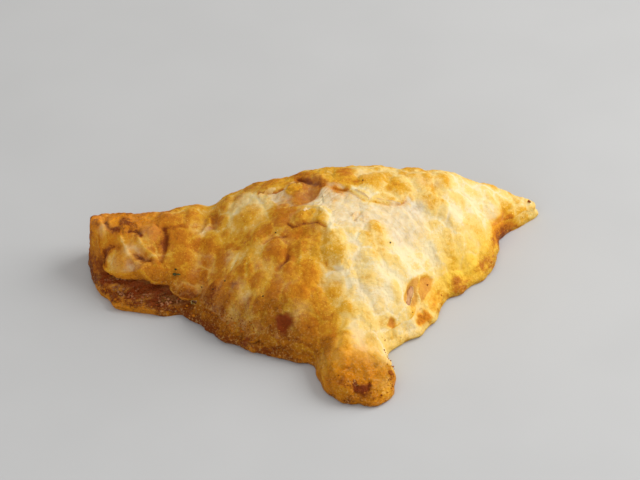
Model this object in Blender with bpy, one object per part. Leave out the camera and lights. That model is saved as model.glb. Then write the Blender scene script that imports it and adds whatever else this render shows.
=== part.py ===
"""Triangular meat pastry: a square of puff pastry folded corner to corner over a meat filling.

The fold is the long side and runs along X at the back (+Y). The two cut edges meet in a crimped tab
at the front (-Y). The sheets stay apart at the left corner, where the upper one stands over the lower
one, and the upper sheet has two tears on its right face. The pastry is a shell round the filling, open
at the left corner and at the tears. It stands on the plane Z = 0, centred on the origin.

The shape functions work in millimetres from a drafting point near the middle. new_object moves the
middle of the outline's box to the origin and turns millimetres into metres.
"""

import bmesh
import bpy
import numpy as np

METRES = 0.001  # metres in a millimetre

# Driving sizes, in millimetres.
LENGTH = 141.4  # along the fold, corner to corner
DEPTH = 91.0  # front tab to fold
HEIGHT = 31.4  # top of the mound over the filling
SHEET = 2.8  # thickness of the lower sheet
SEALED_EDGE = 4.2  # both sheets, where their cut edges are pressed together
CRUST = 5.0  # puffed upper sheet over the filling
CLEARANCE = 0.8  # clearance between the filling and the pastry round it

# Mesh density.
TOP_CELLS = 48  # cells along a side of the square grid that becomes the upper sheet
FILLING_CELLS = 20
OUTLINE_SAMPLES = 1440
CURVE_STEPS = 24  # points between two outline points, before the even resampling

HUB = np.array([0.0, 12.5])  # a plan point that sees the whole outline
SQUARE_CORNERS = np.array([(7.0, -45.0), (70.4, 38.5), (0.0, 44.3), (-70.4, 39.5)])
FRONT, RIGHT, BACK, LEFT = range(4)

# The lower sheet's torn outline in plan, counter-clockwise from the front tab.
OUTLINE = [
    (-5.2, -32.0), (-3.0, -39.3), (2.6, -44.2), (10.4, -45.5), (16.0, -41.5), (16.8, -34.0),
    (15.6, -24.2), (23.0, -18.1), (31.7, -10.1), (36.3, -0.7), (41.9, 3.5), (49.0, 7.9),
    (52.9, 14.3), (54.9, 20.8), (58.8, 30.1), (63.7, 33.9), (68.2, 36.0), (70.4, 38.5),
    (68.4, 40.6), (63.5, 42.2), (50.0, 43.6), (30.0, 43.7), (5.0, 44.2), (-20.0, 43.4),
    (-45.0, 42.3), (-65.0, 42.6), (-70.0, 39.5), (-70.3, 31.0), (-69.2, 21.5), (-62.6, 11.6),
    (-53.0, 6.7), (-43.8, 5.0), (-36.3, -4.4), (-25.1, -15.1), (-13.5, -21.2), (-7.3, -25.4),
]
RIM_WAVES = [(19, 0.35, 0.4), (31, 0.28, 1.9), (47, 0.22, 4.1)]  # waves round the rim, size, phase

# Where the upper sheet stops short of the lower one: plan place, reach and how far short.
SET_BACKS = [
    ((-66.0, 20.5), 9.0, 5.0), ((-56.0, 11.5), 10.0, 6.5), ((-47.0, 7.5), 7.0, 5.0),
    ((30.0, -10.5), 7.0, 2.0), ((44.0, 5.5), 9.0, 3.5), ((53.0, 16.5), 8.0, 2.0),
]
LEAST_SET_BACK = 0.8
# Where the upper sheet's edge stands up from the lower sheet: plan place, reach and rise.
LIFTED = [((-66.0, 20.5), 12.0, 3.5), ((-52.0, 12.5), 10.0, 2.0)]
TALL_CORNER = ((-71.0, 38.0), 5.5, 9.0)  # the open end of the left corner stands up the most
TAB_PRESSED = ((7.0, -36.5), 10.0, 0.4)  # where the front tab is pressed flat: place, reach and share
FOLD_STARTS = 36.5  # Y at which the cut edges begin to turn into the fold
FOLD_BLEND = 5.0

# The crest from the left corner over the mound to the right corner.
CREST_X = [-75.0, -55.0, -38.0, -31.0, -22.0, -12.0, 2.0, 16.0, 28.0, 40.0, 48.0, 56.0, 62.0, 74.0]
CREST_HEIGHT = [15.2, 17.0, 19.6, 20.2, 24.9, 27.9, HEIGHT, 29.6, 27.0, 23.2, 17.8, 11.8, 7.6, 4.8]
CREST_Y = [31.5, 31.5, 30.0, 29.0, 26.0, 23.0, 19.5, 21.5, 24.5, 28.0, 30.5, 35.0, 37.0, 38.0]
# How quickly the sheet rises from the cut edges, and how wide its shoulder over the fold is.
RISE_X = [-72.0, -55.0, -38.0, -25.0, 0.0, 20.0, 45.0, 56.0, 70.0]
RISE = [6.0, 6.0, 8.0, 12.0, 15.0, 15.0, 10.0, 5.5, 4.5]
SHOULDER = [8.0, 9.0, 12.5, 15.0, 20.0, 19.0, 13.5, 8.5, 5.0]
FOLD_HEIGHT = [8.5, 8.5, 9.0, 10.5, 12.0, 12.0, 9.0, 6.5, 4.4]  # thickness at the fold, same X places

# Raised and sunk places of the upper sheet: plan place, reach and rise.
LUMPS = {
    "large blister": [((14.2, -3.0), 3.6, 1.4), ((6.0, -8.5), 3.0, 0.8), ((21.0, 0.0), 2.8, 0.7)],
    "left corner folds": [
        ((-62.5, 25.0), 2.4, -1.8), ((-54.0, 17.5), 2.4, -1.6), ((-58.5, 20.5), 2.0, 1.2),
        ((-66.0, 30.0), 2.2, 1.6), ((-50.0, 25.0), 3.2, 1.0), ((-60.0, 32.0), 3.6, 1.2),
        ((-55.0, 30.0), 2.6, -0.9), ((-46.0, 30.0), 3.4, 0.8), ((-68.0, 36.5), 2.6, 2.2),
    ],
    "right ridge": [((38.0, 27.0), 4.2, 0.7), ((47.0, 24.0), 3.6, 1.0), ((53.0, 31.0), 2.8, 1.0)],
    "torn hollow": [((-2.0, 21.5), 2.6, -1.0), ((2.5, 17.5), 2.6, -1.0)],
    "raised flake": [((-12.0, 11.0), 2.4, 0.8), ((-6.0, 10.5), 2.4, 1.0), ((0.0, 8.0), 2.2, 0.8)],
}
# Creases of the upper sheet: plan polyline, half width and depth.
CREASES = {
    "between arm and mound": ([(-32.0, 37.0), (-34.5, 27.0), (-36.0, 20.0), (-37.5, 10.0)], 2.6, 1.5),
    "under the left corner's skin": ([(-68.5, 34.0), (-62.5, 25.5), (-57.5, 23.0), (-53.0, 17.0)], 1.6, 1.0),
    "under the flake": ([(-16.0, 9.5), (-8.0, 6.8), (1.0, 4.5)], 1.8, 0.8),
    "front tab, left": ([(5.0, -31.0), (3.0, -39.0)], 1.5, 0.8),
    "front tab, right": ([(11.0, -30.0), (11.5, -40.0)], 1.5, 0.8),
}
# The top skin has flaked off this area in plan, which lies lower by PEEL.
PEELED = [
    (-19.0, 27.0), (-15.0, 18.5), (-4.0, 13.0), (5.0, 6.0), (12.0, 3.5), (19.0, 2.0), (27.0, 5.0),
    (36.0, 12.0), (38.0, 18.0), (32.0, 23.0), (18.0, 21.0), (6.0, 25.0), (-8.0, 27.5),
]
PEEL = 0.7

# Blisters of the puffed sheet, spread at random over the top.
BLISTERS = 260
BLISTER_SEED = 7
BLISTER_RADIUS = (2.8, 5.4)
BLISTER_RISE = 0.27  # of the radius

# The filling's outline in plan. It reaches out to the gap at the left corner.
FILLING_OUTLINE = [
    (-65.0, 32.0), (-62.5, 26.5), (-57.5, 22.8), (-50.5, 19.3), (-45.3, 15.0), (-40.5, 8.0),
    (-33.0, 1.0), (-20.0, -8.5), (-9.0, -15.5), (-1.0, -22.0), (6.0, -24.5), (11.0, -20.0),
    (18.5, -13.5), (27.0, -7.5), (31.0, 2.0), (37.5, 8.5), (44.5, 14.0), (48.5, 24.0),
    (48.0, 32.0), (40.0, 37.0), (18.0, 37.5), (-12.0, 37.5), (-40.0, 36.5), (-60.0, 36.0),
]
# The gap between the sheets at the left corner, in plan, and its lowest and highest level.
GAP = [
    (-74.0, 33.0), (-73.0, 22.0), (-66.0, 14.5), (-57.0, 10.5), (-50.0, 7.0), (-44.0, 2.5),
    (-38.0, 0.0), (-34.0, 6.0), (-42.0, 20.0), (-50.0, 26.0), (-57.0, 30.0), (-61.0, 34.0),
]
GAP_LEVELS = (3.2, 5.6)
# Tears through the upper sheet: plan corners. Each is cut straight down to the filling.
TEARS = {
    "long tear": [(22.6, -10.4), (24.0, -6.4), (28.0, -1.6), (31.4, 0.6), (30.6, -2.6), (27.6, -6.6)],
    "small tear": [(16.4, -18.6), (18.0, -15.6), (19.8, -15.4), (18.8, -18.4)],
}
TEAR_THIN_CRUST = 2.4  # crust thickness at the tears, where the filling has pushed it open
TEAR_PLACES = [(26.5, -5.5), (18.0, -16.5)]
TEAR_REACH = 7.0
TEAR_FLOOR = 4.0


# ---------------------------------------------------------------- plan curves

def closed_curve(points, count):
    """Catmull-Rom curve through the points and back to the first, as evenly spaced samples."""
    p = np.asarray(points, dtype=float)
    before, after, last = np.roll(p, 1, 0), np.roll(p, -1, 0), np.roll(p, -2, 0)
    t = np.linspace(0.0, 1.0, CURVE_STEPS, endpoint=False)[None, :, None]
    a, b, c, d = (q[:, None, :] for q in (before, p, after, last))
    bend = (2 * a - 5 * b + 4 * c - d) * t ** 2 + (3 * b - a - 3 * c + d) * t ** 3
    curve = (0.5 * (2 * b + (c - a) * t + bend)).reshape(-1, 2)
    curve = np.vstack([curve, curve[:1]])
    run = np.concatenate([[0.0], np.cumsum(np.linalg.norm(np.diff(curve, axis=0), axis=1))])
    at = np.linspace(0.0, run[-1], count, endpoint=False)
    return np.column_stack([np.interp(at, run, curve[:, 0]), np.interp(at, run, curve[:, 1])])


def bell(p, place, reach):
    """1 at the place, falling off with distance like a bell."""
    return np.exp(-((p - np.array(place)) ** 2).sum(-1) / reach ** 2)


def line_distance(p, line):
    """Distance of each plan point from a polyline."""
    a, b = np.asarray(line, dtype=float)[:-1], np.asarray(line, dtype=float)[1:]
    along = b - a
    rel = p[:, None, :] - a
    t = np.clip((rel * along).sum(-1) / (along ** 2).sum(-1), 0.0, 1.0)
    return np.linalg.norm(rel - t[..., None] * along, axis=-1).min(1)


def inside(p, polygon):
    """True for each plan point inside the polygon, by counting the edges to its right."""
    a = np.asarray(polygon, dtype=float)
    b = np.roll(a, -1, 0)
    x, y = p[:, 0, None], p[:, 1, None]
    spans = (a[:, 1] > y) != (b[:, 1] > y)
    rise = np.where(b[:, 1] == a[:, 1], 1.0, b[:, 1] - a[:, 1])
    crossing = a[:, 0] + (y - a[:, 1]) * (b[:, 0] - a[:, 0]) / rise
    return (spans & (x < crossing)).sum(1) % 2 == 1


def edge_fade(p, polygon, width):
    """0 outside the polygon, rising smoothly to 1 at the given width inside it."""
    ring = np.vstack([polygon, polygon[:1]])
    depth = np.where(inside(p, polygon), line_distance(p, ring), 0.0)
    s = np.clip(depth / width, 0.0, 1.0)
    return s * s * (3.0 - 2.0 * s)


def rippled(curve):
    """The curve moved in and out along its normals by a few waves, as a torn, bubbled edge."""
    turn = np.linspace(0.0, 2 * np.pi, len(curve), endpoint=False)
    along = np.roll(curve, -1, 0) - np.roll(curve, 1, 0)
    normal = np.stack([along[:, 1], -along[:, 0]], 1) / np.linalg.norm(along, axis=1)[:, None]
    wave = sum(size * np.sin(count * turn + shift) for count, size, shift in RIM_WAVES)
    return curve + normal * wave[:, None]


def fitted(curve):
    """The curve stretched about its middle, so that its box is LENGTH by DEPTH."""
    low, high = curve.min(0), curve.max(0)
    middle = (low + high) / 2
    return middle + (curve - middle) * (np.array([LENGTH, DEPTH]) / (high - low))


RIM = fitted(rippled(closed_curve(OUTLINE, OUTLINE_SAMPLES)))
BOX_MIDDLE = np.append((RIM.min(0) + RIM.max(0)) / 2, 0.0)  # becomes the part's origin


def set_back(p):
    """How far the upper sheet's edge stands inside the rim, towards the hub."""
    return LEAST_SET_BACK + sum(amount * bell(p, place, reach) for place, reach, amount in SET_BACKS)


def drawn_in(curve, amount):
    """The curve moved towards the hub by an amount in millimetres."""
    ray = curve - HUB
    far = np.linalg.norm(ray, axis=1)
    return HUB + ray * ((far - amount) / far)[:, None]


UPPER_EDGE = drawn_in(RIM, set_back(RIM))


def stretch(start, end):
    """Samples of the upper sheet's edge between two corners of the square, counter-clockwise."""
    first, last = (((RIM - SQUARE_CORNERS[c]) ** 2).sum(1).argmin() for c in (start, end))
    count = (last - first) % OUTLINE_SAMPLES
    return UPPER_EDGE[(first + np.arange(0, count + 1, 6)) % OUTLINE_SAMPLES]


RIGHT_CUT = stretch(FRONT, RIGHT)
FOLD = stretch(RIGHT, LEFT)
LEFT_CUT = stretch(LEFT, FRONT)


def on_fold(p):
    """1 along the fold, 0 along the cut edges."""
    return np.clip((p[:, 1] - FOLD_STARTS) / FOLD_BLEND, 0.0, 1.0)


def edge_height(p):
    """Height of the upper sheet's top surface at its edge."""
    fold = np.interp(p[:, 0], RISE_X, FOLD_HEIGHT)
    cut = SEALED_EDGE + sum(amount * bell(p, place, reach) for place, reach, amount in LIFTED)
    place, reach, rise = TALL_CORNER
    return cut + (fold - cut) * on_fold(p) + rise * bell(p, place, reach)


# ---------------------------------------------------------------- the upper sheet

def swell(p):
    """Product of the rises from the two cut edges and of the round shoulder over the fold."""
    rise = np.interp(p[:, 0], RISE_X, RISE)
    shoulder = np.interp(p[:, 0], RISE_X, SHOULDER)
    right, left = (1.0 - np.exp(-line_distance(p, cut) / rise) for cut in (RIGHT_CUT, LEFT_CUT))
    back = 1.0 - np.clip(line_distance(p, FOLD) / shoulder, 0.0, 1.0)
    return right * left * np.sqrt(1.0 - back ** 2)


def crest_swell():
    """The swell along the crest line, smoothed, at even places in X."""
    x = np.linspace(-68.5, 68.5, 47)
    value = swell(np.column_stack([x, np.interp(x, CREST_X, CREST_Y)]))
    return x, np.convolve(np.pad(value, 2, "edge"), np.full(5, 0.2), "valid")


CREST_SWELL = crest_swell()


def around(values, p):
    """Values given along the rim, read at the points' directions from the hub."""
    rim_turn = np.unwrap(np.arctan2(RIM[:, 1] - HUB[1], RIM[:, 0] - HUB[0]))
    turn = np.arctan2(p[:, 1] - HUB[1], p[:, 0] - HUB[0])
    turn = (turn - rim_turn[0]) % (2 * np.pi) + rim_turn[0]
    return np.interp(turn, np.append(rim_turn, rim_turn[0] + 2 * np.pi), np.append(values, values[0]))


def blisters(p):
    """Height of the highest of the seeded, bell-shaped blisters at each point."""
    draw = np.random.RandomState(BLISTER_SEED)
    place = draw.uniform((-66.0, -36.0), (66.0, 40.0), (BLISTERS, 2))
    radius = draw.uniform(*BLISTER_RADIUS, BLISTERS)
    near = np.clip(np.linalg.norm(p[:, None, :] - place, axis=-1) / radius, 0.0, 1.0)
    return (BLISTER_RISE * radius * (1.0 - near ** 2) ** 2).max(1)


def relief(p):
    """Blisters, named lumps, creases and the peeled area, as a rise over the smooth sheet."""
    rise = blisters(p)
    for lumps in LUMPS.values():
        rise += sum(amount * bell(p, place, reach) for place, reach, amount in lumps)
    for line, half_width, depth in CREASES.values():
        rise -= depth * np.exp(-(line_distance(p, line) / half_width) ** 2)
    return rise - PEEL * edge_fade(p, PEELED, 1.5)


def sheet_height(p, with_relief=True):
    """Height of the upper sheet's top surface."""
    edge = around(edge_height(RIM), p)
    crest = np.interp(p[:, 0], CREST_X, CREST_HEIGHT)
    share = np.clip(swell(p) / np.interp(p[:, 0], *CREST_SWELL), 0.0, 1.15)
    place, reach, pressed = TAB_PRESSED
    share *= 1.0 - pressed * bell(p, place, reach)
    height = edge + (crest - edge) * share
    if with_relief:
        height += relief(p) * np.clip(share * 4.0, 0.15, 1.0)
    return height


# ---------------------------------------------------------------- meshes

def square_grid(cells):
    """Ring number (0 to 1) and place along the four sides (0 to 4) of each point of a square grid."""
    side = np.linspace(-1.0, 1.0, cells + 1)
    a, b = np.meshgrid(side, side, indexing="ij")
    ring = np.maximum(abs(a), abs(b))
    u, v = (q / np.where(ring == 0.0, 1.0, ring) for q in (a, b))
    sides = [u > 1 - 1e-9, v > 1 - 1e-9, u < -1 + 1e-9]
    return ring, np.select(sides, [(v + 1) / 2, 1 + (1 - u) / 2, 2 + (1 - v) / 2], 3 + (u + 1) / 2) % 4


def corner_samples(curve):
    """Sample numbers of the curve nearest to the square's corners, rising all the way round."""
    found = [int(((curve - corner) ** 2).sum(1).argmin()) for corner in SQUARE_CORNERS]
    turns = np.cumsum([0] + [(b - a) % len(curve) for a, b in zip(found, found[1:] + found[:1])])
    return found[0] + turns


def along_curve(curve, place):
    """Points of a closed curve at places from 0 to 4, which are its square corners."""
    sample = np.interp(place, range(5), corner_samples(curve)) % len(curve)
    closed = np.vstack([curve, curve[:1]])
    numbers = np.arange(len(closed))
    return np.stack([np.interp(sample, numbers, closed[:, axis]) for axis in (0, 1)], -1)


def grid_cap(edge, cells):
    """A star of square rings from the hub out to the edge curve: plan points and their quads."""
    ring, place = square_grid(cells)
    reach = 0.65 * ring + 0.35 * np.sin(ring * np.pi / 2)
    plan = HUB + reach[..., None] * (along_curve(edge, place) - HUB)
    number = np.arange((cells + 1) ** 2).reshape(cells + 1, cells + 1)
    corners = (number[:-1, :-1], number[1:, :-1], number[1:, 1:], number[:-1, 1:])
    quads = np.stack([c.ravel() for c in corners], 1)
    border = np.concatenate([number[-1, :-1], number[::-1, -1][:-1], number[0, ::-1][:-1], number[:-1, 0]])
    return plan.reshape(-1, 2), quads, border


def skirt(border, rings, first_number):
    """Quads from the cap's border down through each ring of points, and the last ring's numbers."""
    faces = []
    upper = border
    for step in range(rings):
        lower = first_number + step * len(border) + np.arange(len(border))
        faces += np.stack([upper, lower, np.roll(lower, -1), np.roll(upper, -1)], 1).tolist()
        upper = lower
    return faces, upper


def new_object(name, points, faces, colour, roughness):
    """A closed mesh object from points in millimetres, all triangles, with its own material."""
    mesh = bpy.data.meshes.new(name)
    mesh.from_pydata(((points - BOX_MIDDLE) * METRES).tolist(), [], faces)
    bm = bmesh.new()
    bm.from_mesh(mesh)
    bmesh.ops.triangulate(bm, faces=bm.faces)
    bmesh.ops.recalc_face_normals(bm, faces=bm.faces)
    bm.to_mesh(mesh)
    bm.free()
    mesh.shade_smooth()
    material = bpy.data.materials.new(name)
    material.use_nodes = True
    shader = material.node_tree.nodes["Principled BSDF"]
    shader.inputs["Base Color"].default_value = (*colour, 1.0)
    shader.inputs["Roughness"].default_value = roughness
    mesh.materials.append(material)
    obj = bpy.data.objects.new(name, mesh)
    bpy.context.scene.collection.objects.link(obj)
    return obj


def pastry_levels(border_edge, border_rim):
    """The rings of the side wall, from under the upper sheet's edge to the flat underside.

    On a cut edge the wall goes down the upper sheet's edge, into the seam, out over the lower sheet
    and round the rim. On the fold it is one round bulge. Each level gives the distance drawn in from
    the rim and the height, for both kinds of edge.
    """
    back = set_back(border_rim)
    top = edge_height(border_rim)
    fold = on_fold(border_rim)
    corner = bell(border_rim, *TALL_CORNER[:2])
    upper_dent, lower_dent = (blisters(border_rim + np.array([0.0, side])) for side in (-5.0, -9.0))
    levels = [  # drawn in on a cut edge, height there; drawn in on the fold, share of height there
        (back - 0.5 + 1.6 * corner, SHEET + 0.65 * (top - SHEET), 0.2 + upper_dent + corner, 0.80),
        (back - 0.1, SHEET + 0.25 * (top - SHEET), 0.5 * upper_dent, 0.60),
        (back + 0.7, np.full_like(top, SHEET), 0.5 * lower_dent, 0.42),
        (np.minimum(back, 1.0) - 0.2, np.full_like(top, SHEET - 0.3), 0.3, 0.26),
        (np.zeros_like(top), np.full_like(top, 0.5 * SHEET), 0.9, 0.12),
        (np.full_like(top, 0.9), np.zeros_like(top), 2.2, 0.0),
    ]
    rings = []
    for cut_in, cut_height, fold_in, fold_share in levels:
        plan = drawn_in(border_rim, cut_in + (fold_in - cut_in) * fold)
        height = cut_height + (fold_share * top - cut_height) * fold
        rings.append(np.column_stack([plan, height]))
    return rings


def make_pastry():
    """The folded sheet as one closed body: upper sheet, side wall and flat underside."""
    plan, faces, border = grid_cap(UPPER_EDGE, TOP_CELLS)
    top = np.column_stack([plan, sheet_height(plan)])
    ring, place = square_grid(TOP_CELLS)
    border_rim = along_curve(RIM, place.ravel()[border])
    rings = pastry_levels(plan[border], border_rim)
    wall, last = skirt(border, len(rings), len(top))
    points = np.vstack([top] + rings)
    return new_object("pastry", points, faces.tolist() + wall + [last.tolist()], (0.72, 0.44, 0.14), 0.45)


def filling_height(p):
    """Top of the filling: the crust's thickness below the smooth upper sheet, less at the tears."""
    crust = CRUST - (CRUST - TEAR_THIN_CRUST) * sum(bell(p, t, TEAR_REACH) for t in TEAR_PLACES)
    return np.maximum(sheet_height(p, with_relief=False) - crust, SHEET + 1.0)


def filling_body(name, grow, colour, roughness):
    """The filling, or the hollow it lies in when it is grown by the clearance on all sides."""
    edge = closed_curve(FILLING_OUTLINE, OUTLINE_SAMPLES)
    plan, faces, border = grid_cap(edge, FILLING_CELLS)
    minced = 0.35 * np.sin(plan[:, 0] * 1.1) * np.sin(plan[:, 1] * 1.3 + plan[:, 0] * 0.4)
    height = filling_height(plan) + minced + grow
    plan = grid_cap(drawn_in(edge, -grow), FILLING_CELLS)[0]
    top = np.column_stack([plan, height])
    foot = np.column_stack([plan[border], np.full(len(border), SHEET + CLEARANCE - grow)])
    wall, last = skirt(border, 1, len(top))
    faces = faces.tolist() + wall + [last.tolist()]
    return new_object(name, np.vstack([top, foot]), faces, colour, roughness)


def plan_prism(name, plan, low, high):
    """An upright prism over a plan polygon, for a cutter."""
    plan = np.asarray(plan, dtype=float)
    count = len(plan)
    points = np.vstack([np.column_stack([plan, np.full(count, z)]) for z in (high, low)])
    wall, last = skirt(np.arange(count), 1, count)
    return new_object(name, points, [list(range(count))] + wall + [last.tolist()], (0.5, 0.5, 0.5), 0.5)


def cut(body, cutter):
    """Cut a body by a cutter, which stays in the scene as a wire guide."""
    cutter.hide_render = True
    cutter.display_type = "WIRE"
    modifier = body.modifiers.new(cutter.name, "BOOLEAN")
    modifier.operation = "DIFFERENCE"
    modifier.solver = "EXACT"
    modifier.object = cutter


def main():
    for obj in list(bpy.data.objects):
        bpy.data.objects.remove(obj)
    pastry = make_pastry()
    filling_body("filling", 0.0, (0.36, 0.16, 0.08), 0.35)
    cut(pastry, filling_body("hollow_cutter", CLEARANCE, (0.5, 0.5, 0.5), 0.5))
    cut(pastry, plan_prism("gap_cutter", GAP, *GAP_LEVELS))
    for name, corners in TEARS.items():
        cut(pastry, plan_prism(name.replace(" ", "_") + "_cutter", corners, TEAR_FLOOR, HEIGHT))


main()
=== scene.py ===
"""Meat pastry: the finished look of a puff pastry triangle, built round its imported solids.

Shapes are worked out in millimetres from a drafting point near the middle of the pastry, the same one
that the solids use. X runs along the fold at the back, the crimped tab is at -Y, and Z is up from the
surface that the pastry rests on. to_frame moves a shape to the frame's origin and into metres.
"""

import math
from itertools import product

import bmesh
import bpy
import numpy as np
from bpy.props import FloatProperty, FloatVectorProperty, IntProperty, PointerProperty
from mathutils import Matrix, Vector


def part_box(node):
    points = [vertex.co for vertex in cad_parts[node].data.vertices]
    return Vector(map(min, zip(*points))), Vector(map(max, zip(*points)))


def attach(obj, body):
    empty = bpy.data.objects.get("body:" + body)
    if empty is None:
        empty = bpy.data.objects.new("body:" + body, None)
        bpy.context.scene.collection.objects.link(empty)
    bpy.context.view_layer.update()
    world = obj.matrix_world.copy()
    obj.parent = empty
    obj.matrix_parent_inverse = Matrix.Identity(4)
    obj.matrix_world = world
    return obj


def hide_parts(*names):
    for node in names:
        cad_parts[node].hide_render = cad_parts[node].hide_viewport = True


bl_info = {
    "name": "Meat Pastry",
    "version": (1, 0, 0),
    "blender": (4, 5, 0),
    "location": "View3D > Sidebar > Pastry",
    "description": "Folded puff pastry triangle with a meat filling, its flakes, crumbs and juices",
    "category": "Add Mesh",
}

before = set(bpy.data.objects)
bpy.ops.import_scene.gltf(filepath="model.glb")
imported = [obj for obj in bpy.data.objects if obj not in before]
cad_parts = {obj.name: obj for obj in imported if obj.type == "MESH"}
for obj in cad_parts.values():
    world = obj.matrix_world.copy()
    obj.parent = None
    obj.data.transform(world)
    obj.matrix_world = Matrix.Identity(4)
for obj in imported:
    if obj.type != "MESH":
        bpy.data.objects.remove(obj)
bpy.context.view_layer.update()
PASTRY_LOW, PASTRY_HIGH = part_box("pastry")

MILLIMETRES = 1000.0  # in a metre
BODY = "root"

# Driving sizes, in millimetres, as in the solids.
LENGTH = (PASTRY_HIGH.x - PASTRY_LOW.x) * MILLIMETRES
DEPTH = (PASTRY_HIGH.y - PASTRY_LOW.y) * MILLIMETRES
TALLEST_BLISTER = 1.2
HEIGHT = PASTRY_HIGH.z * MILLIMETRES - TALLEST_BLISTER  # top of the mound over the filling
SHEET = 2.8  # thickness of the lower sheet
SEALED_EDGE = 4.2  # both sheets, where their cut edges are pressed together
CRUST = 5.0  # puffed upper sheet over the filling
CLEARANCE = 0.8  # between the filling and the pastry round it

OUTLINE_SAMPLES = 1440
CURVE_STEPS = 24
EDGE_STEP = 6  # samples of the outline to one of an edge
BLOCK = 4000  # points worked on at a time, to save memory

HUB = np.array([0.0, 12.5])  # a plan point that sees the whole outline
SQUARE_CORNERS = np.array([(7.0, -45.0), (70.4, 38.5), (0.0, 44.3), (-70.4, 39.5)])
FRONT, RIGHT, BACK, LEFT = range(4)

# The lower sheet's torn outline in plan, counter-clockwise from the front tab.
OUTLINE = [
    (-5.2, -32.0), (-3.0, -39.3), (2.6, -44.2), (10.4, -45.5), (16.0, -41.5), (16.8, -34.0),
    (15.6, -24.2), (23.0, -18.1), (31.7, -10.1), (36.3, -0.7), (41.9, 3.5), (49.0, 7.9),
    (52.9, 14.3), (54.9, 20.8), (58.8, 30.1), (63.7, 33.9), (68.2, 36.0), (70.4, 38.5),
    (68.4, 40.6), (63.5, 42.2), (50.0, 43.6), (30.0, 43.7), (5.0, 44.2), (-20.0, 43.4),
    (-45.0, 42.3), (-65.0, 42.6), (-70.0, 39.5), (-70.3, 31.0), (-69.2, 21.5), (-62.6, 11.6),
    (-53.0, 6.7), (-43.8, 5.0), (-36.3, -4.4), (-25.1, -15.1), (-13.5, -21.2), (-7.3, -25.4),
]
RIM_WAVES = [(19, 0.35, 0.4), (31, 0.28, 1.9), (47, 0.22, 4.1)]  # waves round the rim, size, phase

# Where the upper sheet stops short of the lower one: plan place, reach and how far short.
SET_BACKS = [
    ((-66.0, 20.5), 9.0, 5.0), ((-56.0, 11.5), 10.0, 6.5), ((-47.0, 7.5), 7.0, 5.0),
    ((30.0, -10.5), 7.0, 2.0), ((44.0, 5.5), 9.0, 3.5), ((53.0, 16.5), 8.0, 2.0),
]
LEAST_SET_BACK = 0.8
# Where the upper sheet's edge stands up from the lower sheet: plan place, reach and rise.
LIFTED = [((-66.0, 20.5), 12.0, 3.5), ((-52.0, 12.5), 10.0, 2.0)]
TALL_CORNER = ((-71.0, 38.0), 5.5, 9.0)
TAB_PRESSED = ((7.0, -36.5), 10.0, 0.4)
FOLD_STARTS = 36.5
FOLD_BLEND = 5.0

# The crest from the left corner over the mound to the right corner.
CREST_X = [-75.0, -55.0, -38.0, -31.0, -22.0, -12.0, 2.0, 16.0, 28.0, 40.0, 48.0, 56.0, 62.0, 74.0]
CREST_HEIGHT = [15.2, 17.0, 19.6, 20.2, 24.9, 27.9, HEIGHT, 29.6, 27.0, 23.2, 17.8, 11.8, 7.6, 4.8]
CREST_Y = [31.5, 31.5, 30.0, 29.0, 26.0, 23.0, 19.5, 21.5, 24.5, 28.0, 30.5, 35.0, 37.0, 38.0]
CREST_LINE = np.column_stack([CREST_X, CREST_Y])
CREST_REACH = 68.5  # how far the crest is sampled to each side
CREST_SAMPLES = 47
RISE_X = [-72.0, -55.0, -38.0, -25.0, 0.0, 20.0, 45.0, 56.0, 70.0]
RISE = [6.0, 6.0, 8.0, 12.0, 15.0, 15.0, 10.0, 5.5, 4.5]
SHOULDER = [8.0, 9.0, 12.5, 15.0, 20.0, 19.0, 13.5, 8.5, 5.0]
FOLD_HEIGHT = [8.5, 8.5, 9.0, 10.5, 12.0, 12.0, 9.0, 6.5, 4.4]

# Raised and sunk places of the upper sheet: plan place, reach and rise.
LUMPS = {
    "large blister": [((14.2, -3.0), 3.6, 1.4), ((6.0, -8.5), 3.0, 0.8), ((21.0, 0.0), 2.8, 0.7)],
    "left corner folds": [
        ((-62.5, 25.0), 2.4, -0.4), ((-54.0, 17.5), 2.4, -0.4), ((-58.5, 20.5), 2.0, 0.3),
        ((-66.0, 30.0), 2.2, 0.8), ((-50.0, 25.0), 3.2, 0.9), ((-60.0, 32.0), 3.6, 0.8),
        ((-55.0, 30.0), 2.6, -0.2), ((-46.0, 30.0), 3.4, 0.8), ((-68.0, 36.5), 2.6, 1.6),
    ],
    "right ridge": [((38.0, 27.0), 4.2, 0.7), ((47.0, 24.0), 3.6, 1.0), ((53.0, 31.0), 2.8, 1.0)],
    "torn hollow": [((-2.0, 21.5), 2.6, -1.0), ((2.5, 17.5), 2.6, -1.0)],
    "raised flake": [((-12.0, 11.0), 2.4, 0.8), ((-6.0, 10.5), 2.4, 1.0), ((0.0, 8.0), 2.2, 0.8)],
}
# Creases of the upper sheet: plan polyline, half width and depth.
CREASES = {
    "between arm and mound": ([(-32.0, 37.0), (-34.5, 27.0), (-36.0, 20.0), (-37.5, 10.0)], 2.6, 1.5),
    "under the left corner's skin": (
        [(-68.5, 34.0), (-62.5, 25.5), (-57.5, 23.0), (-53.0, 17.0)], 1.6, 1.0),
    "under the flake": ([(-16.0, 9.5), (-8.0, 6.8), (1.0, 4.5)], 1.8, 0.8),
    "front tab, left": ([(5.0, -31.0), (3.0, -39.0)], 1.5, 0.8),
    "front tab, right": ([(11.0, -30.0), (11.5, -40.0)], 1.5, 0.8),
}
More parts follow.
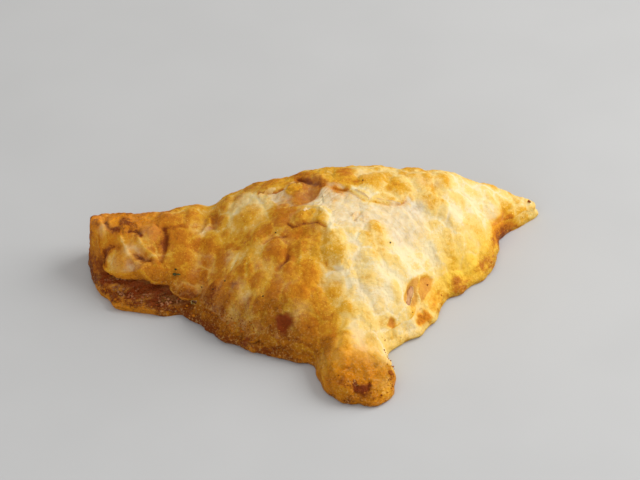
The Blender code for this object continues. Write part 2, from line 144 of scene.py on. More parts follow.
# Rounded puffs of the skin: plan place, radius and rise.
PUFFS = [
    ((4.6, -1.0), 4.8, 1.50), ((30.0, 10.0), 4.6, 0.66), ((37.6, 10.3), 5.2, 0.99),
    ((46.3, 18.8), 5.0, 0.86), ((34.4, 19.4), 4.0, 0.66), ((17.5, 23.6), 4.8, 0.86),
    ((25.9, 23.4), 4.6, 0.79), ((40.2, 29.0), 4.2, 0.79), ((13.0, -8.5), 4.6, 0.99),
    ((21.1, -2.4), 4.0, 0.79), ((6.1, -16.9), 4.2, 0.79), ((2.2, -12.5), 3.4, 0.66),
    ((-23.3, 1.6), 4.2, 0.79), ((-32.9, 17.8), 4.4, 0.86), ((-14.0, 2.5), 4.4, 0.79),
    ((-28.8, 10.3), 4.0, 0.79), ((-6.5, 1.9), 3.8, 0.66), ((-5.1, -6.0), 4.2, 0.79),
    ((-17.2, 11.0), 4.4, 0.79), ((-10.9, -4.8), 3.6, 0.59), ((-2.5, -14.0), 4.2, 0.73),
    ((-38.1, 29.5), 4.2, 0.73), ((48.0, 30.4), 4.0, 0.73), ((-33.7, 1.9), 3.4, 0.66),
    ((10.4, -17.5), 3.6, 0.66), ((16.7, 6.2), 2.6, 0.59), ((-24.0, -8.0), 3.2, 0.59),
    ((-17.5, -14.0), 3.4, 0.59), ((-62.5, 34.0), 2.6, 0.66), ((-67.6, 36.6), 2.2, 0.59),
    ((-51.6, 25.4), 4.4, 0.99), ((-44.0, 29.0), 4.0, 0.66), ((-62.4, 21.6), 2.6, 0.60),
    ((-56.6, 30.4), 3.2, 0.53), ((-58.6, 15.4), 2.4, 0.46), ((-50.6, 13.0), 3.0, 0.53),
    ((-41.0, 21.0), 4.2, 0.66), ((-41.4, 13.4), 4.0, 0.66), ((-20.6, -3.4), 3.6, 0.59),
    ((-30.6, -4.4), 3.2, 0.53), ((-4.4, 10.9), 3.6, 0.73), ((0.8, 9.2), 3.2, 0.86),
    ((9.8, 28.6), 4.4, 0.66), ((33.0, 27.6), 4.2, 0.73), ((-13.0, 30.0), 4.2, 0.66),
    ((-21.0, 20.0), 4.6, 0.66), ((54.6, 32.4), 3.6, 0.59), ((43.0, 23.6), 3.8, 0.66),
    ((-8.4, -11.0), 3.4, 0.59), ((15.4, -13.8), 3.4, 0.59), ((19.4, -9.4), 3.0, 0.53),
    ((8.4, -12.8), 2.8, 0.53), ((3.6, -28.6), 3.6, 0.46), ((10.8, -31.4), 3.2, 0.46),
    ((-1.6, -35.4), 2.8, 0.40), ((12.2, -38.4), 2.8, 0.46),
]
# Sharper lines of the top: plan polyline, half width, rise (below 0 for a crack) and browning change.
# A browning change above 0 along a crack, crease, crescent, hollow, fold or valley is painted shade in
# the groove; along a line under a skin's or flake's edge it is a painted shadow of that edge.
LINES = {
    # Painted shadow under the raised flake's edge, darkening the crack.
    "crack under the raised flake": (
        [(-9.4, 10.1), (-8.2, 8.6), (-5.2, 8.9), (-1.2, 8.0), (1.5, 6.2)], 0.35, -0.6, 0.45),
    "rim of the raised flake": ([(0.3, 13.0), (3.6, 9.4), (3.3, 6.6), (2.2, 5.0)], 0.7, 0.4, -0.30),
    # The crescent, the hollows, the upright crease and the folds of the corner skin below get painted
    # shade in their grooves.
    "crescent under the large blister": ([(0.2, -4.2), (0.8, -6.0), (3.3, -6.6)], 0.5, -0.9, 0.30),
    "fold hollow of the left corner": ([(-66.4, 26.4), (-64.0, 25.8), (-61.4, 25.0)], 0.8, -1.0, 0.28),
    "pale ridge of the left corner": ([(-59.8, 26.6), (-57.6, 20.6), (-55.0, 16.4)], 0.5, 0.8, -0.26),
    "diagonal hollow of the left corner": (
        [(-56.1, 20.2), (-53.6, 17.4), (-51.3, 15.9)], 0.6, -1.0, 0.26),
    "second ridge of the left corner": ([(-54.4, 24.4), (-52.6, 19.4), (-50.4, 17.0)], 0.5, 0.6, -0.16),
    "upright crease": ([(-46.6, 26.0), (-46.0, 22.7), (-46.8, 18.2), (-48.4, 15.0)], 0.8, -1.2, 0.26),
    "fold of the corner skin": ([(-64.2, 33.0), (-63.2, 30.4), (-60.4, 29.2)], 0.6, -0.8, 0.34),
    "second fold of the corner skin": ([(-57.0, 28.0), (-54.6, 27.4), (-53.4, 24.6)], 0.6, -0.6, 0.36),
    "pale ridge of the corner skin": ([(-65.6, 34.4), (-64.8, 30.6)], 0.5, 0.5, -0.20),
    "torn ridge of the arm": (
        [(-37.6, 20.0), (-34.4, 22.4), (-32.8, 24.6), (-32.6, 27.5)], 0.6, 0.9, -0.22),
    # Painted shade in the valley between the arm and the mound.
    "valley of the arm": ([(-31.2, 32.0), (-31.0, 27.5), (-31.7, 23.0)], 1.3, -1.2, 0.14),
    # Painted shadow of the curled leaves' edge.
    "under the curled leaves": (
        [(5.8, 21.4), (10.0, 20.7), (11.2, 18.4), (13.9, 16.5), (17.6, 16.7)], 0.45, -0.3, 0.22),
    "curled leaf": ([(10.6, 22.0), (13.2, 19.2), (15.6, 18.2), (18.6, 19.8)], 0.4, 0.35, -0.14),
    "border of the right leaf": (
        [(27.5, -6.0), (28.0, -3.8), (29.0, -1.6), (31.3, 0.7)], 0.5, -0.3, 0.26),
    # Painted shadow under the tear's lip, along its left border.
    "border of the left leaf": (
        [(23.0, -11.2), (23.3, -9.0), (24.6, -6.4), (26.4, -3.8)], 0.45, 0.0, 0.30),
    "oily line of the right leg": (
        [(19.2, -19.2), (21.4, -17.6), (23.4, -16.2), (25.4, -14.4), (27.0, -13.2)], 0.6, -0.4, 0.30),
    "ridge below the long tear": ([(26.6, -9.8), (26.9, -11.6)], 0.5, 0.5, -0.30),
    "streak of the left face": ([(-25.2, 8.6), (-27.0, 6.0), (-28.0, 4.4)], 0.5, -0.6, -0.28),
    "second streak of the left face": ([(-22.6, 2.6), (-23.4, -1.0)], 0.5, -0.6, -0.26),
    # Painted shade in the two creases of the front.
    "crease of the front": ([(-17.6, 6.8), (-14.4, 7.4), (-10.6, 6.4)], 0.5, -0.6, 0.22),
    "second crease of the front": ([(-10.2, 2.2), (-10.8, -1.4), (-14.0, -3.0)], 0.5, -0.6, 0.22),
    # Painted shadow under the long leaf edge.
    "long leaf edge": ([(17.6, 16.9), (21.5, 16.6), (25.2, 17.4), (27.2, 19.2)], 0.35, -0.5, 0.25),
    # Painted shadow under the edge of the top left skin.
    "skin edge at the top left": (
        [(-17.0, 27.6), (-14.8, 26.6), (-12.2, 26.0), (-9.8, 26.3)], 0.45, -0.8, 0.40),
    "brown band of the hollow": ([(-4.6, 29.6), (-1.6, 26.8), (1.9, 23.4)], 1.1, -0.7, 0.30),
    # Painted shade on the white chip's dark side.
    "dark side of the white chip": ([(10.6, 9.2), (11.4, 10.8), (12.8, 12.2)], 0.4, -0.8, 0.35),
    "thin upright ridge": ([(-6.3, 2.8), (-6.6, -0.4), (-7.1, -3.4)], 0.35, 0.5, -0.20),
    "valley of the front": ([(-22.0, -3.0), (-26.0, -8.0), (-29.0, -9.5)], 1.4, -0.8, -0.05),
    "tab fork, left": ([(4.4, -39.5), (5.2, -43.4)], 0.5, -0.8, 0.45),
    "tab fork, right": ([(8.6, -40.5), (8.2, -43.9)], 0.45, -0.8, 0.45),
    "tab crack": ([(0.6, -36.2), (2.6, -35.6), (4.2, -36.4)], 0.5, -0.7, 0.35),
}
# The top skin has flaked off this area in plan, by its own thickness.
PEELED = [
    (-13.5, 25.4), (-12.5, 17.0), (-8.0, 16.4), (-4.0, 16.0), (-0.5, 14.4), (3.6, 13.2), (4.3, 9.6),
    (4.0, 6.4), (9.6, 5.4), (13.2, 4.8), (15.0, 9.0), (18.6, 8.8), (20.4, 5.6), (24.0, 3.0),
    (28.6, 6.0), (32.0, 11.0), (32.6, 17.4), (28.0, 20.8), (25.2, 17.4), (17.8, 16.8), (13.8, 16.4),
    (11.2, 18.4), (10.0, 20.8), (7.0, 23.2), (3.0, 24.2), (-0.6, 27.2), (-3.8, 30.2), (-6.6, 28.6),
    (-10.2, 26.6),
]
PEEL = 0.7

# Plan places and reaches where its border is soft, and where the skin has stayed within it.
SOFT_BORDERS = [((22.0, 5.0), 8.0), ((33.0, 12.0), 7.0), ((8.0, 6.0), 3.0)]
SKIN_ISLANDS = [((-6.0, 24.6), 3.4), ((16.5, 8.2), 2.0)]
# Sunk places of the bare leaves: plan place, reach and depth.
HOLLOWS = [((-2.6, 20.3), 3.4, 1.3), ((-1.2, 26.0), 2.2, 0.6), ((7.4, 20.4), 2.0, 0.4)]
# Where the skin has fried into small bubbles, whose tops get painted glints: plan place, reach and
# share.
FRIED = [
    ((-28.0, -10.0), 9.0, 0.8), ((-38.0, 1.0), 6.0, 0.7), ((-14.0, -19.0), 7.0, 0.8),
    ((-48.0, 8.0), 5.0, 0.8), ((4.0, -40.0), 8.0, 1.0), ((12.0, -37.0), 6.0, 0.9),
    ((-4.0, -28.0), 6.0, 0.7), ((-62.0, 12.0), 9.0, 0.6), ((40.0, 3.0), 4.0, 0.6),
    ((52.0, 14.0), 5.0, 0.6), ((30.0, -10.0), 4.0, 0.5), ((-15.0, -13.0), 6.0, 0.4),
    ((-56.0, 31.0), 6.0, 0.3), ((11.0, -24.0), 5.0, 0.5),
]
FIBRE_CENTRE = (12.0, -1.0)  # the leaves of the bare dough curve round this plan point
# Where the skin is livelier, or below 0 calmer: plan place, reach and change.
LIVELY = [
    ((6.0, -38.0), 9.0, 0.9), ((-32.0, -4.0), 7.0, 0.35), ((-52.0, 30.0), 9.0, 0.25),
    ((-60.0, 22.0), 9.0, 0.6), ((24.0, 12.0), 10.0, -0.3),
]

BLISTERS = 260
BLISTER_SEED = 7
BLISTER_RADIUS = (2.8, 5.4)
BLISTER_RISE = 0.27  # of the radius
BLISTER_AREA = ((-66.0, -36.0), (66.0, 40.0))  # low and high corner in plan

FILLING_OUTLINE = [
    (-65.0, 32.0), (-62.5, 26.5), (-57.5, 22.8), (-50.5, 19.3), (-45.3, 15.0), (-40.5, 8.0),
    (-33.0, 1.0), (-20.0, -8.5), (-9.0, -15.5), (-1.0, -22.0), (6.0, -24.5), (11.0, -20.0),
    (18.5, -14.0), (25.0, -10.0), (30.0, 1.4), (37.5, 8.5), (44.5, 14.0), (48.5, 24.0),
    (48.0, 32.0), (40.0, 37.0), (18.0, 37.5), (-12.0, 37.5), (-40.0, 36.5), (-60.0, 36.0),
]
# Slits cut right through the upper sheet: corners in plan.
TEARS = {
    "long tear": [
        (23.1, -10.4), (23.3, -9.2), (24.3, -6.8), (25.5, -5.0), (25.7, -6.2), (24.7, -8.6),
        (24.0, -10.2),
    ],
}
# Torn dents that do not go through: corners, depth, browning, orange and tan share.
DENTS = {
    "left leaf of the long tear": (
        [
            (23.0, -11.4), (23.2, -9.2), (24.3, -6.4), (26.0, -4.0), (27.9, -1.9), (28.3, -3.6),
            (27.4, -5.8), (27.2, -8.2), (26.0, -10.0), (24.4, -11.4),
        ], 0.6, 0.54, 0.2, 0.60),
    "right leaf of the long tear": (
        [
            (28.3, -3.6), (28.9, -1.6), (31.3, 0.9), (33.0, 1.8), (32.6, -0.1), (31.9, -2.2),
            (30.4, -5.6), (28.4, -8.2), (27.5, -6.4),
        ], 0.8, 0.60, 0.35, 0.45),
    "small tear": ([(16.2, -18.6), (17.6, -16.0), (19.6, -16.2), (19.0, -18.4)], 0.8, 0.74, 0.2, 0.30),
}
TEAR_THIN_CRUST = 4.2  # thickness of the upper sheet at a tear
TEAR_FILLED = 2.5  # how far the filling bulges up into a tear
TEAR_PLACES = [(26.0, -6.0)]
# Where meat and dough show tan in the torn faces: plan place, reach and share.
TAN_PLACES = [((25.0, -7.6), 3.4, 0.9), ((30.2, -1.8), 2.6, 0.5), ((18.6, -17.0), 1.6, 0.4)]
TEAR_REACH = 7.0
TEAR_FLOOR = 4.0  # height down to which a tear is cut


# ---------------------------------------------------------------- plan curves

def closed_curve(points, count):
    """Catmull-Rom curve through the points and back to the first, as evenly spaced samples."""
    p = np.asarray(points, dtype=float)
    before, after, last = np.roll(p, 1, 0), np.roll(p, -1, 0), np.roll(p, -2, 0)
    t = np.linspace(0.0, 1.0, CURVE_STEPS, endpoint=False)[None, :, None]
    a, b, c, d = (q[:, None, :] for q in (before, p, after, last))
    bend = (2 * a - 5 * b + 4 * c - d) * t ** 2 + (3 * b - a - 3 * c + d) * t ** 3
    curve = (0.5 * (2 * b + (c - a) * t + bend)).reshape(-1, 2)
    curve = np.vstack([curve, curve[:1]])
    run = np.concatenate([[0.0], np.cumsum(np.linalg.norm(np.diff(curve, axis=0), axis=1))])
    at = np.linspace(0.0, run[-1], count, endpoint=False)
    return np.column_stack([np.interp(at, run, curve[:, 0]), np.interp(at, run, curve[:, 1])])


def bell(p, place, reach):
    """1 at the place, falling off with distance like a bell: exp(-(distance / reach) squared)."""
    return np.exp(-((p - np.array(place)) ** 2).sum(-1) / reach ** 2)


def bells(p, places):
    """Sum of bells, each with its plan place, its reach and its amount."""
    return sum(amount * bell(p, place, reach) for place, reach, amount in places)


def hump(value, middle, width):
    """1 at the middle value, falling off like a bell: exp(-((value - middle) / width) squared)."""
    return np.exp(-((value - middle) / width) ** 2)


def clipped(value):
    """The value, kept from 0 to 1."""
    return np.clip(value, 0.0, 1.0)


def step(value, low, high):
    """0 below low, 1 above high, and 3 s squared - 2 s cubed between them."""
    s = clipped((value - low) / (high - low))
    return s * s * (3.0 - 2.0 * s)


def in_blocks(work, p):
    """The work's values for many points, taken a block of points at a time."""
    return np.concatenate([work(block) for block in np.array_split(p, len(p) // BLOCK + 1)])


def line_distance(p, line):
    """Distance of each plan point from a polyline."""
    a, b = np.asarray(line, dtype=float)[:-1], np.asarray(line, dtype=float)[1:]
    along = b - a

    def nearest(block):
        rel = block[:, None, :] - a
        t = clipped((rel * along).sum(-1) / (along ** 2).sum(-1))
        return np.linalg.norm(rel - t[..., None] * along, axis=-1).min(1)

    return in_blocks(nearest, p)


def inside(p, polygon):
    """True for each plan point inside the polygon, by counting the edges to its right."""
    a = np.asarray(polygon, dtype=float)
    b = np.roll(a, -1, 0)
    x, y = p[:, 0, None], p[:, 1, None]
    spans = (a[:, 1] > y) != (b[:, 1] > y)
    rise = np.where(b[:, 1] == a[:, 1], 1.0, b[:, 1] - a[:, 1])
    crossing = a[:, 0] + (y - a[:, 1]) * (b[:, 0] - a[:, 0]) / rise
    return (spans & (x < crossing)).sum(1) % 2 == 1


def signed_depth(p, polygon):
    """Distance from the polygon's edge, positive inside and negative outside."""
    ring = np.vstack([polygon, polygon[:1]])
    return np.where(inside(p, polygon), 1.0, -1.0) * line_distance(p, ring)


def rippled(curve):
    """The curve moved in and out along its normals by a few waves, as a torn, bubbled edge."""
    turn = np.linspace(0.0, 2 * np.pi, len(curve), endpoint=False)
    along = np.roll(curve, -1, 0) - np.roll(curve, 1, 0)
    normal = np.stack([along[:, 1], -along[:, 0]], 1) / np.linalg.norm(along, axis=1)[:, None]
    wave = sum(size * np.sin(count * turn + shift) for count, size, shift in RIM_WAVES)
    return curve + normal * wave[:, None]


def fitted(curve):
    """The curve stretched about its middle, so that its box is LENGTH by DEPTH."""
    low, high = curve.min(0), curve.max(0)
    middle = (low + high) / 2
    return middle + (curve - middle) * (np.array([LENGTH, DEPTH]) / (high - low))


RIM = fitted(rippled(closed_curve(OUTLINE, OUTLINE_SAMPLES)))
BOX_MIDDLE = np.append((RIM.min(0) + RIM.max(0)) / 2, 0.0)  # becomes the frame's origin


def set_back(p):
    """How far the upper sheet's edge stands inside the rim, towards the hub."""
    return LEAST_SET_BACK + bells(p, SET_BACKS)


def drawn_in(curve, amount):
    """The curve moved towards the hub by an amount in millimetres."""
    ray = curve - HUB
    far = np.linalg.norm(ray, axis=1)
    return HUB + ray * ((far - amount) / far)[:, None]


UPPER_EDGE = drawn_in(RIM, set_back(RIM))


def stretch(start, end):
    """Samples of the upper sheet's edge between two corners of the square, counter-clockwise."""
    first, last = (((RIM - SQUARE_CORNERS[c]) ** 2).sum(1).argmin() for c in (start, end))
    count = (last - first) % OUTLINE_SAMPLES
    return UPPER_EDGE[(first + np.arange(0, count + 1, EDGE_STEP)) % OUTLINE_SAMPLES]


RIGHT_CUT = stretch(FRONT, RIGHT)
FOLD = stretch(RIGHT, LEFT)
LEFT_CUT = stretch(LEFT, FRONT)


# ---------------------------------------------------------------- random fields

CELL_PRIMES = (374761393, 668265263, 1103515245)


def scatter(cell, seed):
    """A repeatable random number from 0 to 1 for each whole-numbered cell of a plane or of space."""
    mixed = seed * 974634777 + sum(cell[:, axis] * CELL_PRIMES[axis] for axis in range(cell.shape[1]))
    mixed = mixed & 0xFFFFFFFF
    mixed = ((mixed ^ (mixed >> 13)) * 1274126177) & 0xFFFFFFFF
    return ((mixed ^ (mixed >> 16)) & 0xFFFF) / 65535.0


def soft_noise(p, size, seed):
    """Smooth noise from -1 to 1: random values at the corners of even cells, eased between them."""
    place = p / size
    cell = np.floor(place).astype(np.int64)
    t = place - cell
    t = t * t * (3.0 - 2.0 * t)
    total = np.zeros(len(p))
    for corner in product((0, 1), repeat=p.shape[1]):
        share = np.prod(np.where(np.array(corner) == 1, t, 1.0 - t), axis=1)
        total += share * scatter(cell + corner, seed)
    return 2.0 * total - 1.0


def rough_noise(p, size, seed, octaves=4):
    """Sum of soft noises, each half the size and about half the strength of the one before."""
    return sum(0.55 ** k * soft_noise(p + 17.3 * k, size * 0.5 ** k, seed + k) for k in range(octaves))


def cell_points(p, size, seed):
    """Squared distance in cells, and cell, of the random point in each cell near to each place."""
    place = p / size
    cell = np.floor(place).astype(np.int64)
    for shift in product((-1, 0, 1), repeat=p.shape[1]):
        near = cell + shift
        axes = range(p.shape[1])
        away = np.stack([near[:, axis] + scatter(near, seed + axis) - place[:, axis] for axis in axes])
        yield (away ** 2).sum(0), near


def domes(p, size, seed, least=0.35):
    """Highest, from 0 to 1, of round domes that stand one in each cell, placed at random."""
    best = np.zeros(len(p))
    for far, near in cell_points(p, size, seed):
        radius = least + (0.95 - least) * scatter(near, seed + 3)
        best = np.maximum(best, radius * (1.0 - clipped(far / radius ** 2)) ** 1.5)
    return best


def pillows(p, size, seed):
    """Puffed cells parted by sharp creases: their height, and the distance from a crease.

    The distance is that to the second nearest cell point less that to the nearest. With t as this
    distance over 0.45 of the size, at most 1, the height is 1 - (1 - t) squared, times 0.5 to 1.
    """
    first, second, number = np.full(len(p), 9.0), np.full(len(p), 9.0), np.zeros(len(p))
    for far, near in cell_points(p, size, seed):
        far = np.sqrt(far)
        second = np.where(far < first, first, np.minimum(second, far))
        number = np.where(far < first, scatter(near, seed + 3), number)
        first = np.minimum(first, far)
    crease = (second - first) * size
    t = clipped(crease / (0.45 * size))
    return (1.0 - (1.0 - t) ** 2) * (0.5 + 0.5 * number), crease


# ---------------------------------------------------------------- the upper sheet

def on_fold(p):
    """1 along the fold, 0 along the cut edges."""
    return clipped((p[:, 1] - FOLD_STARTS) / FOLD_BLEND)


def edge_height(p):
    """Height of the upper sheet's top surface at its edge."""
    fold = np.interp(p[:, 0], RISE_X, FOLD_HEIGHT)
    cut = SEALED_EDGE + bells(p, LIFTED)
    place, reach, rise = TALL_CORNER
    return cut + (fold - cut) * on_fold(p) + rise * bell(p, place, reach)


def swell(p):
    """Product of the rises from the two cut edges and of the round shoulder over the fold."""
    rise = np.interp(p[:, 0], RISE_X, RISE)
    shoulder = np.interp(p[:, 0], RISE_X, SHOULDER)
    right, left = (1.0 - np.exp(-line_distance(p, cut) / rise) for cut in (RIGHT_CUT, LEFT_CUT))
    back = 1.0 - clipped(line_distance(p, FOLD) / shoulder)
    return right * left * np.sqrt(1.0 - back ** 2)


def crest_swell():
    """The swell along the crest line, smoothed, at even places in X."""
    x = np.linspace(-CREST_REACH, CREST_REACH, CREST_SAMPLES)
    value = swell(np.column_stack([x, np.interp(x, CREST_X, CREST_Y)]))
    return x, np.convolve(np.pad(value, 2, "edge"), np.full(5, 0.2), "valid")


CREST_SWELL = crest_swell()


def around(values, p):
    """Values given along the rim, read at the points' directions from the hub."""
    rim_turn = np.unwrap(np.arctan2(RIM[:, 1] - HUB[1], RIM[:, 0] - HUB[0]))
    turn = np.arctan2(p[:, 1] - HUB[1], p[:, 0] - HUB[0])
    turn = (turn - rim_turn[0]) % (2 * np.pi) + rim_turn[0]
    return np.interp(turn, np.append(rim_turn, rim_turn[0] + 2 * np.pi), np.append(values, values[0]))


def share_of_crest(p):
    """How much of the crest's height the smooth sheet has reached, from 0 at its edges."""
    share = np.clip(swell(p) / np.interp(p[:, 0], *CREST_SWELL), 0.0, 1.15)
    place, reach, pressed = TAB_PRESSED
    return share * (1.0 - pressed * bell(p, place, reach))


def smooth_height(p):
    """Height of the upper sheet's top surface without its relief."""
    edge = around(edge_height(RIM), p)
    crest = np.interp(p[:, 0], CREST_X, CREST_HEIGHT)
    return edge + (crest - edge) * share_of_crest(p)


def blisters(p):
    """Height of the highest of the seeded, bell-shaped blisters at each point."""
    draw = np.random.RandomState(BLISTER_SEED)
    places = draw.uniform(*BLISTER_AREA, (BLISTERS, 2))
    radii = draw.uniform(*BLISTER_RADIUS, BLISTERS)
    best = np.zeros(len(p))
    for place, radius in zip(places, radii):
        near = clipped(((p - place) ** 2).sum(1) / radius ** 2)
        best = np.maximum(best, BLISTER_RISE * radius * (1.0 - near) ** 1.5)
    return best


def puffs(p):
    """Height of the highest named puff, rise times 1 - (distance / radius) squared, and its margin.

    The margin is the radius less the distance, in millimetres: 0 at the puffs' common outline.
    """
    uneven = p + 1.2 * np.column_stack([rough_noise(p, 4.0, 45, 3), rough_noise(p, 4.0, 48, 3)])
    best, margin = np.zeros(len(p)), np.full(len(p), -99.0)
    for place, radius, rise in PUFFS:
        far = np.linalg.norm(uneven - place, axis=1)
        best = np.maximum(best, rise * (1.0 - clipped(far / radius) ** 2))
        margin = np.maximum(margin, radius - far)
    return best, margin


def line_bells(p, amount):
    """Sum over the named lines of a chosen amount times exp(-(distance / half width) squared)."""
    total = np.zeros(len(p))
    for line, half_width, rise, browning in LINES.values():
        ragged = half_width * (1.0 + 0.35 * soft_noise(p, 1.6, 19))
        bell_of_line = hump(line_distance(p, line), 0.0, ragged)
        total += bell_of_line * (rise if amount == "rise" else browning)
    return total


def bare(p):
    """1 where the top skin has flaked off: a torn border, sharp but for its soft places."""
    wander = np.column_stack([rough_noise(p, 5.0, 11), rough_noise(p, 5.0, 12)])
    soft = sum(bell(p, place, reach) for place, reach in SOFT_BORDERS)
    depth = signed_depth(p + 1.0 * wander, PEELED) / (1.0 + 9.0 * clipped(soft))
    island = sum(bell(p, place, reach) for place, reach in SKIN_ISLANDS)
    return step(depth, -0.25, 0.3) * (1.0 - step(island, 0.35, 0.5))


def relief(p):
    """Rise over the smooth sheet: blisters and puffs, then the named lumps, creases and lines."""
    calm = 0.36 - 0.16 * hump(line_distance(p, CREST_LINE), 0.0, 7.0)
    random, named = calm * blisters(p), puffs(p)[0]
    rise = np.maximum(random, named) + 0.3 * np.minimum(random, named)
    for lumps in LUMPS.values():
        rise += bells(p, lumps)
    for line, half_width, depth in CREASES.values():
        rise -= depth * hump(line_distance(p, line), 0.0, half_width)
    return rise + line_bells(p, "rise")


def skin_relief(points):
    """Rise of the skin's puffed cells of three sizes at points in space, and their creases."""
    warp = np.column_stack([soft_noise(points, 3.2, seed) for seed in (41, 42, 43)])
    large, crease = pillows(points + 1.3 * warp, 7.0, 21)
    medium, split = pillows(points + 0.8 * warp, 3.4, 25)
    small, _ = pillows(points, 1.6, 31)
    lively = 0.62 + 0.38 * soft_noise(points, 13.0, 33)
    lively = lively + bells(points[:, :2], LIVELY)
    rise = lively * (0.72 * large + 0.42 * medium) + 0.17 * small
    rise += 0.09 * rough_noise(points, 1.4, 51, 2)
    lines = np.maximum(hump(crease, 0.0, 0.6), 0.5 * hump(split, 0.0, 0.4))
    return rise - 0.5, large, lines


def fibre_place(plan):
    """Distance from the centre that the bare leaves curve round, and the way round it."""
    away = plan - FIBRE_CENTRE
    far = np.linalg.norm(away, axis=1) + 1.2 * soft_noise(plan, 7.0, 95)
    return far, np.arctan2(away[:, 1], away[:, 0]) * 14.0


def leaf_relief(points, large):
    """Rise of the bare leaves: the skin's thickness down, hollows, soft swells and thin fibres."""
    plan = points[:, :2]
    far, round_way = fibre_place(plan)
    fibres = rough_noise(np.column_stack([far, round_way * 0.16]), 1.5, 61, 3)
    hollow = bells(plan, HOLLOWS)
    return 0.5 * large + 0.22 * fibres + 0.08 * rough_noise(points, 1.5, 71, 2) - PEEL - hollow


# ---------------------------------------------------------------- meshes

def square_grid(cells):
    """Ring number (0 to 1) and place along the four sides (0 to 4) of each point of a square grid."""
    side = np.linspace(-1.0, 1.0, cells + 1)
    a, b = np.meshgrid(side, side, indexing="ij")
    ring = np.maximum(abs(a), abs(b))
    u, v = (q / np.where(ring == 0.0, 1.0, ring) for q in (a, b))
    sides = [u > 1 - 1e-9, v > 1 - 1e-9, u < -1 + 1e-9]
    return ring, np.select(sides, [(v + 1) / 2, 1 + (1 - u) / 2, 2 + (1 - v) / 2], 3 + (u + 1) / 2) % 4


def corner_samples(curve):
    """Sample numbers of the curve nearest to the square's corners, rising all the way round."""
    found = [int(((curve - corner) ** 2).sum(1).argmin()) for corner in SQUARE_CORNERS]
    turns = np.cumsum([0] + [(b - a) % len(curve) for a, b in zip(found, found[1:] + found[:1])])
    return found[0] + turns


def along_curve(curve, place):
    """Points of a closed curve at places from 0 to 4, which are its square corners."""
    sample = np.interp(place, range(5), corner_samples(curve)) % len(curve)
    closed = np.vstack([curve, curve[:1]])
    numbers = np.arange(len(closed))
    return np.stack([np.interp(sample, numbers, closed[:, axis]) for axis in (0, 1)], -1)


def grid_quads(number):
    """Quads between the neighbours of a grid of point numbers."""
    corners = (number[:-1, :-1], number[1:, :-1], number[1:, 1:], number[:-1, 1:])
    return np.stack([c.ravel() for c in corners], 1)


def grid_border(number):
    """The point numbers round the border of a grid, in order, from its last row."""
    sides = (number[-1, :-1], number[::-1, -1][:-1], number[0, ::-1][:-1], number[:-1, 0])
    return np.concatenate(sides)


def ring_quads(rows):
    """Quads between the closed rings of point numbers in the rows."""
    upper, lower = rows[:-1], rows[1:]
    return np.stack([upper, lower, np.roll(lower, -1, 1), np.roll(upper, -1, 1)], -1).reshape(-1, 4)


def grid_cap(edge, cells):
    """A star of square rings from the hub out to the edge curve: plan points and their quads."""
    ring, place = square_grid(cells)
    reach = 0.65 * ring + 0.35 * np.sin(ring * np.pi / 2)
    plan = HUB + reach[..., None] * (along_curve(edge, place) - HUB)
    number = np.arange((cells + 1) ** 2).reshape(cells + 1, cells + 1)
    return plan.reshape(-1, 2), grid_quads(number), grid_border(number)


def skirt(border, rings, first_number):
    """Quads from the cap's border down through each ring of points, and the last ring's numbers."""
    count = len(border)
    rows = np.vstack([border, first_number + np.arange(rings * count).reshape(rings, count)])
    return ring_quads(rows), rows[-1]


def to_frame(points):
    """Drafting millimetres to the frame's metres."""
    return (points - BOX_MIDDLE) / MILLIMETRES


def new_mesh(name, points, faces, masks=None):
    """A smooth mesh object from drafting points, faces and named masks."""
    mesh = bpy.data.meshes.new(name)
    mesh.from_pydata(to_frame(points).tolist(), [], faces)
    for mask, values in (masks or {}).items():
        mesh.attributes.new(mask, "FLOAT", "POINT").data.foreach_set("value", values.astype(np.float32))
    mesh.shade_smooth()
    return linked(name, mesh)


def point_out(obj):
    """Turns a closed mesh's faces so that they all point outwards."""
    shape = bmesh.new()
    shape.from_mesh(obj.data)
    bmesh.ops.recalc_face_normals(shape, faces=shape.faces)
    shape.to_mesh(obj.data)
    shape.free()


def cut(body, cutter):
    """Cuts a cutter's solid out of a body, applies the cut and removes the cutter."""
    modifier = body.modifiers.new(cutter.name, "BOOLEAN")
    modifier.operation = "DIFFERENCE"
    modifier.solver = "MANIFOLD"
    modifier.object = cutter
    graph = bpy.context.evaluated_depsgraph_get()
    finished = bpy.data.meshes.new_from_object(body.evaluated_get(graph))
    body.modifiers.clear()
    body.data = finished
    bpy.data.objects.remove(cutter)


def dress(obj, material, replaced=()):
    """Gives a piece its material, its body and, where it has them and replaced nodes."""
    obj.data.materials.clear()
    obj.data.materials.append(material)
    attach(obj, BODY)
    if replaced:
        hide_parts(*replaced)


# ---------------------------------------------------------------- the crust

CRUST_CELLS = 250
CRUST_SHARP = math.radians(60.0)
HOLLOW_CELLS = 40
WALL_RINGS = 30
RING_SHARES, RING_LEVELS = (0.0, 0.22, 0.36, 0.74, 1.0), (0.0, 4.0, 6.5, 10.5, 14.0)
MOUTH = [(-69.6, 23.5), (-69.2, 21.5), (-62.6, 11.6), (-53.0, 6.7), (-49.0, 6.2)]
MOUTH_ROOF = 5.8  # underside of the upper sheet over the open mouth
HIGH_LIP = ((-58.0, 9.0), 10.0, 5.0)  # where the mouth's roof is higher: plan place, reach and rise
MOUTH_DEPTH = 4.0
SMALL_MOUTH = ((-24.8, -15.0), 2.0)
# Changes of the upper sheet's set-back that only show in its finished look.
LIP_CHANGES = [((-63.5, 12.5), 6.0, 5.0), ((-59.0, 9.6), 4.5, 3.2), ((-70.2, 32.6), 1.6, 1.2)]
